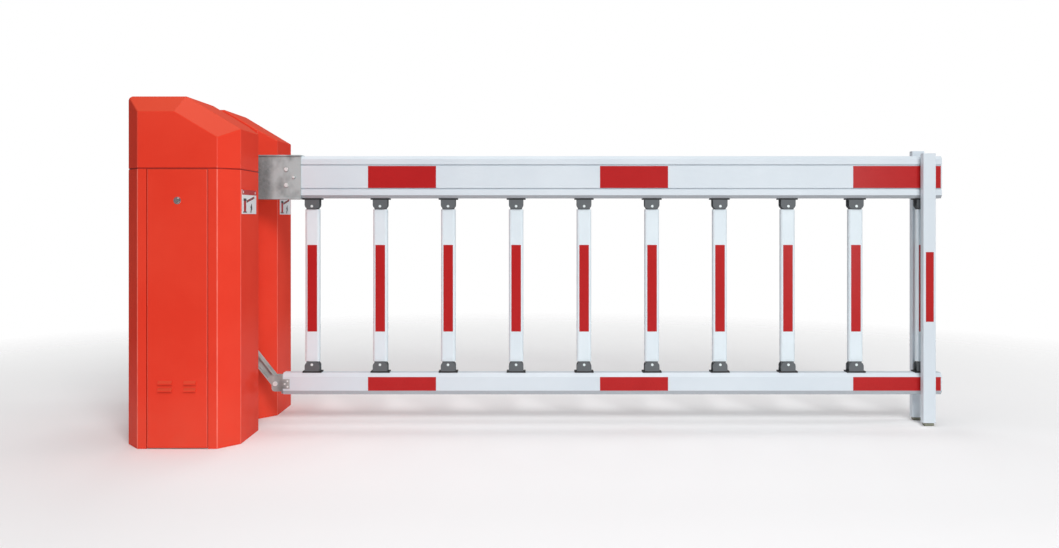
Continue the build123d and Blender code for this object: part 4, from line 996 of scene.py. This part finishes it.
def pin_clip(name, end, side, body):
    """Spring clip and groove disc on the end of a linkage pin."""
    clip_inner = 0.004
    clip_outer = 0.0092
    clip_thickness = 0.0011
    disc_radius = 0.0055
    mesh = bmesh.new()
    place = facing(end, side)
    add_ring(mesh, clip_inner, clip_outer, clip_thickness, place)
    add_lathe(mesh, ((disc_radius, 0), (disc_radius, 0.0012), (0.0046, 0.0018)), place)
    piece(name, mesh, body, "zinc")


clip_gap = 0.0001
pin_overrun = 0.0005
pin_x = joints["tie_rod_swing"]["pos_m"][0]
crank_pin_z = joints["tie_rod_swing"]["pos_m"][2]
lever_pin_z = joints["spring_hanger_swing"]["pos_m"][2]
crank_pin_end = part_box("output_crank")[1].y + clip_gap
drive_pin_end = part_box("tie_rod")[0].y - pin_overrun - clip_gap
spring_pin_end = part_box("spring_lever")[0].y - clip_gap
pin_clip("crank_pin_clip", (pin_x, crank_pin_end, crank_pin_z), 1, "crank")
pin_clip("drive_pin_clip", (pin_x, drive_pin_end, lever_pin_z), -1, "boom")
pin_clip("spring_pin_clip", (pin_x, spring_pin_end, lever_pin_z), -1, "boom")


# -------------------------------------------------------------- balance spring
def coil_spring():
    """Closed-ended coil spring that stands for the plain tube between its discs."""
    low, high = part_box("balance_spring")
    centre = (low + high) / 2
    wire = 0.0032
    mean_radius = (high.x - low.x) / 2 - wire
    turns = 46
    steps_per_turn = 20
    mesh = bmesh.new()
    rings = []
    steps = turns * steps_per_turn
    for step in range(steps + 1):
        share = step / steps
        angle = share * turns * tau
        along = Vector((-sin(angle), cos(angle), 0.0))
        out = Vector((cos(angle), sin(angle), 0.0))
        up = along.cross(out)
        height = low.z + wire + share * (high.z - low.z - 2 * wire)
        core = Vector((centre.x, centre.y, height)) + out * mean_radius
        rings.append(bar_ring(mesh, core, wire, out, up, points=8))
    add_tube(mesh, rings)
    spring = piece("balance_spring_coils", mesh, body_of_node["balance_spring"], "spring_steel")
    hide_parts("balance_spring")
    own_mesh(spring)


coil_spring()


# ------------------------------------------------------------------- studio
def floor_material(tone, fade_start, fade_end):
    """Pale matt floor that fades into the backdrop between two distances."""
    finish = Finish("floor_white", 0.8, specular=0.2)
    cloud_depth = 0.985
    darker = tuple(channel * cloud_depth for channel in tone[:3]) + (1.0,)
    finish.colour(finish.mix(finish.noise(1.5, 3.0), tone, darker))
    reach = finish.tree.nodes.new("ShaderNodeVectorMath")
    reach.operation = "LENGTH"
    finish.feed(reach.inputs[0], finish.place)
    clear = finish.tree.nodes.new("ShaderNodeBsdfTransparent")
    mix = finish.tree.nodes.new("ShaderNodeMixShader")
    finish.feed(mix.inputs[0], finish.remap(reach.outputs["Value"], fade_start, fade_end))
    finish.feed(mix.inputs[1], finish.shader.outputs["BSDF"])
    finish.feed(mix.inputs[2], clear.outputs["BSDF"])
    output = finish.tree.nodes["Material Output"]
    finish.feed(output.inputs["Surface"], mix.outputs["Shader"])
    return finish.material


floor_radius = 7.0
floor_mesh = bmesh.new()
bmesh.ops.create_circle(floor_mesh, cap_ends=True, segments=96, radius=floor_radius)
floor_data = bpy.data.meshes.new("floor")
floor_mesh.to_mesh(floor_data)
floor_mesh.free()
floor_data.materials.append(floor_material(linear(251, 251, 252), fade_start=1.4, fade_end=3.6))
floor = bpy.data.objects.new("floor", floor_data)
floor.location = (1.0, 0.2, -0.0005)
bpy.context.scene.collection.objects.link(floor)


def studio_world(backdrop, fill):
    """Pale backdrop to look at, and a weaker even fill to light by."""
    world = bpy.data.worlds.new("studio")
    world.use_nodes = True
    tree = world.node_tree
    behind = tree.nodes["Background"]
    behind.inputs["Color"].default_value = linear(*backdrop)
    behind.inputs["Strength"].default_value = 1.0
    around = tree.nodes.new("ShaderNodeBackground")
    around.inputs["Color"].default_value = (1, 1, 1, 1)
    around.inputs["Strength"].default_value = fill
    path = tree.nodes.new("ShaderNodeLightPath")
    mix = tree.nodes.new("ShaderNodeMixShader")
    tree.links.new(path.outputs["Is Camera Ray"], mix.inputs[0])
    tree.links.new(around.outputs[0], mix.inputs[1])
    tree.links.new(behind.outputs[0], mix.inputs[2])
    tree.links.new(mix.outputs[0], tree.nodes["World Output"].inputs["Surface"])
    bpy.context.scene.world = world


studio_world(backdrop=(255, 255, 255), fill=0.21)


def soft_light(name, position, target, size, power, mirrored):
    """Rectangular area light aimed at a point; mirrored says if surfaces may reflect it."""
    data = bpy.data.lights.new(name, "AREA")
    data.shape = "RECTANGLE"
    data.size = size[0]
    data.size_y = size[1]
    data.energy = power
    lamp = bpy.data.objects.new(name, data)
    lamp.location = position
    aim = Vector(target) - Vector(position)
    lamp.rotation_euler = aim.to_track_quat("-Z", "Y").to_euler()
    lamp.visible_glossy = mirrored
    lamp.visible_camera = False
    bpy.context.scene.collection.objects.link(lamp)


# Name, position, target, width and height, power, and if surfaces may reflect it.
lights = (
    ("key", (2.1, -4.9, 4.3), (0.7, 0.2, 0.5), (2.2, 2.2), 235, True),
    ("top", (0.4, -0.3, 4.2), (0.4, 0.0, 0.5), (3.2, 2.6), 43, True),
    ("edge", (3.4, -4.4, 1.0), (0.1, -0.1, 0.6), (0.25, 1.8), 26, True),
    ("side", (5.5, 0.6, 1.5), (0.3, 0.2, 0.6), (0.6, 2.4), 30, True),
    ("back", (0.8, 4.5, 3.6), (0.8, 0.2, 0.5), (4.0, 2.0), 70, False),
)
for light in lights:
    soft_light(*light)

# Place, lens and shift were fitted to the edges of cabinets, rails and legs in the photo.
camera_data = bpy.data.cameras.new("camera")
camera_data.sensor_width = 36.0
camera_data.lens = 32.3
camera_data.shift_y = -0.0529
camera = bpy.data.objects.new("camera", camera_data)
camera.location = (1.012, -2.879, 0.663)
camera.rotation_euler = (pi / 2, 0, 0)
bpy.context.scene.collection.objects.link(camera)
bpy.context.scene.camera = camera
bpy.context.scene.view_settings.view_transform = "Standard"
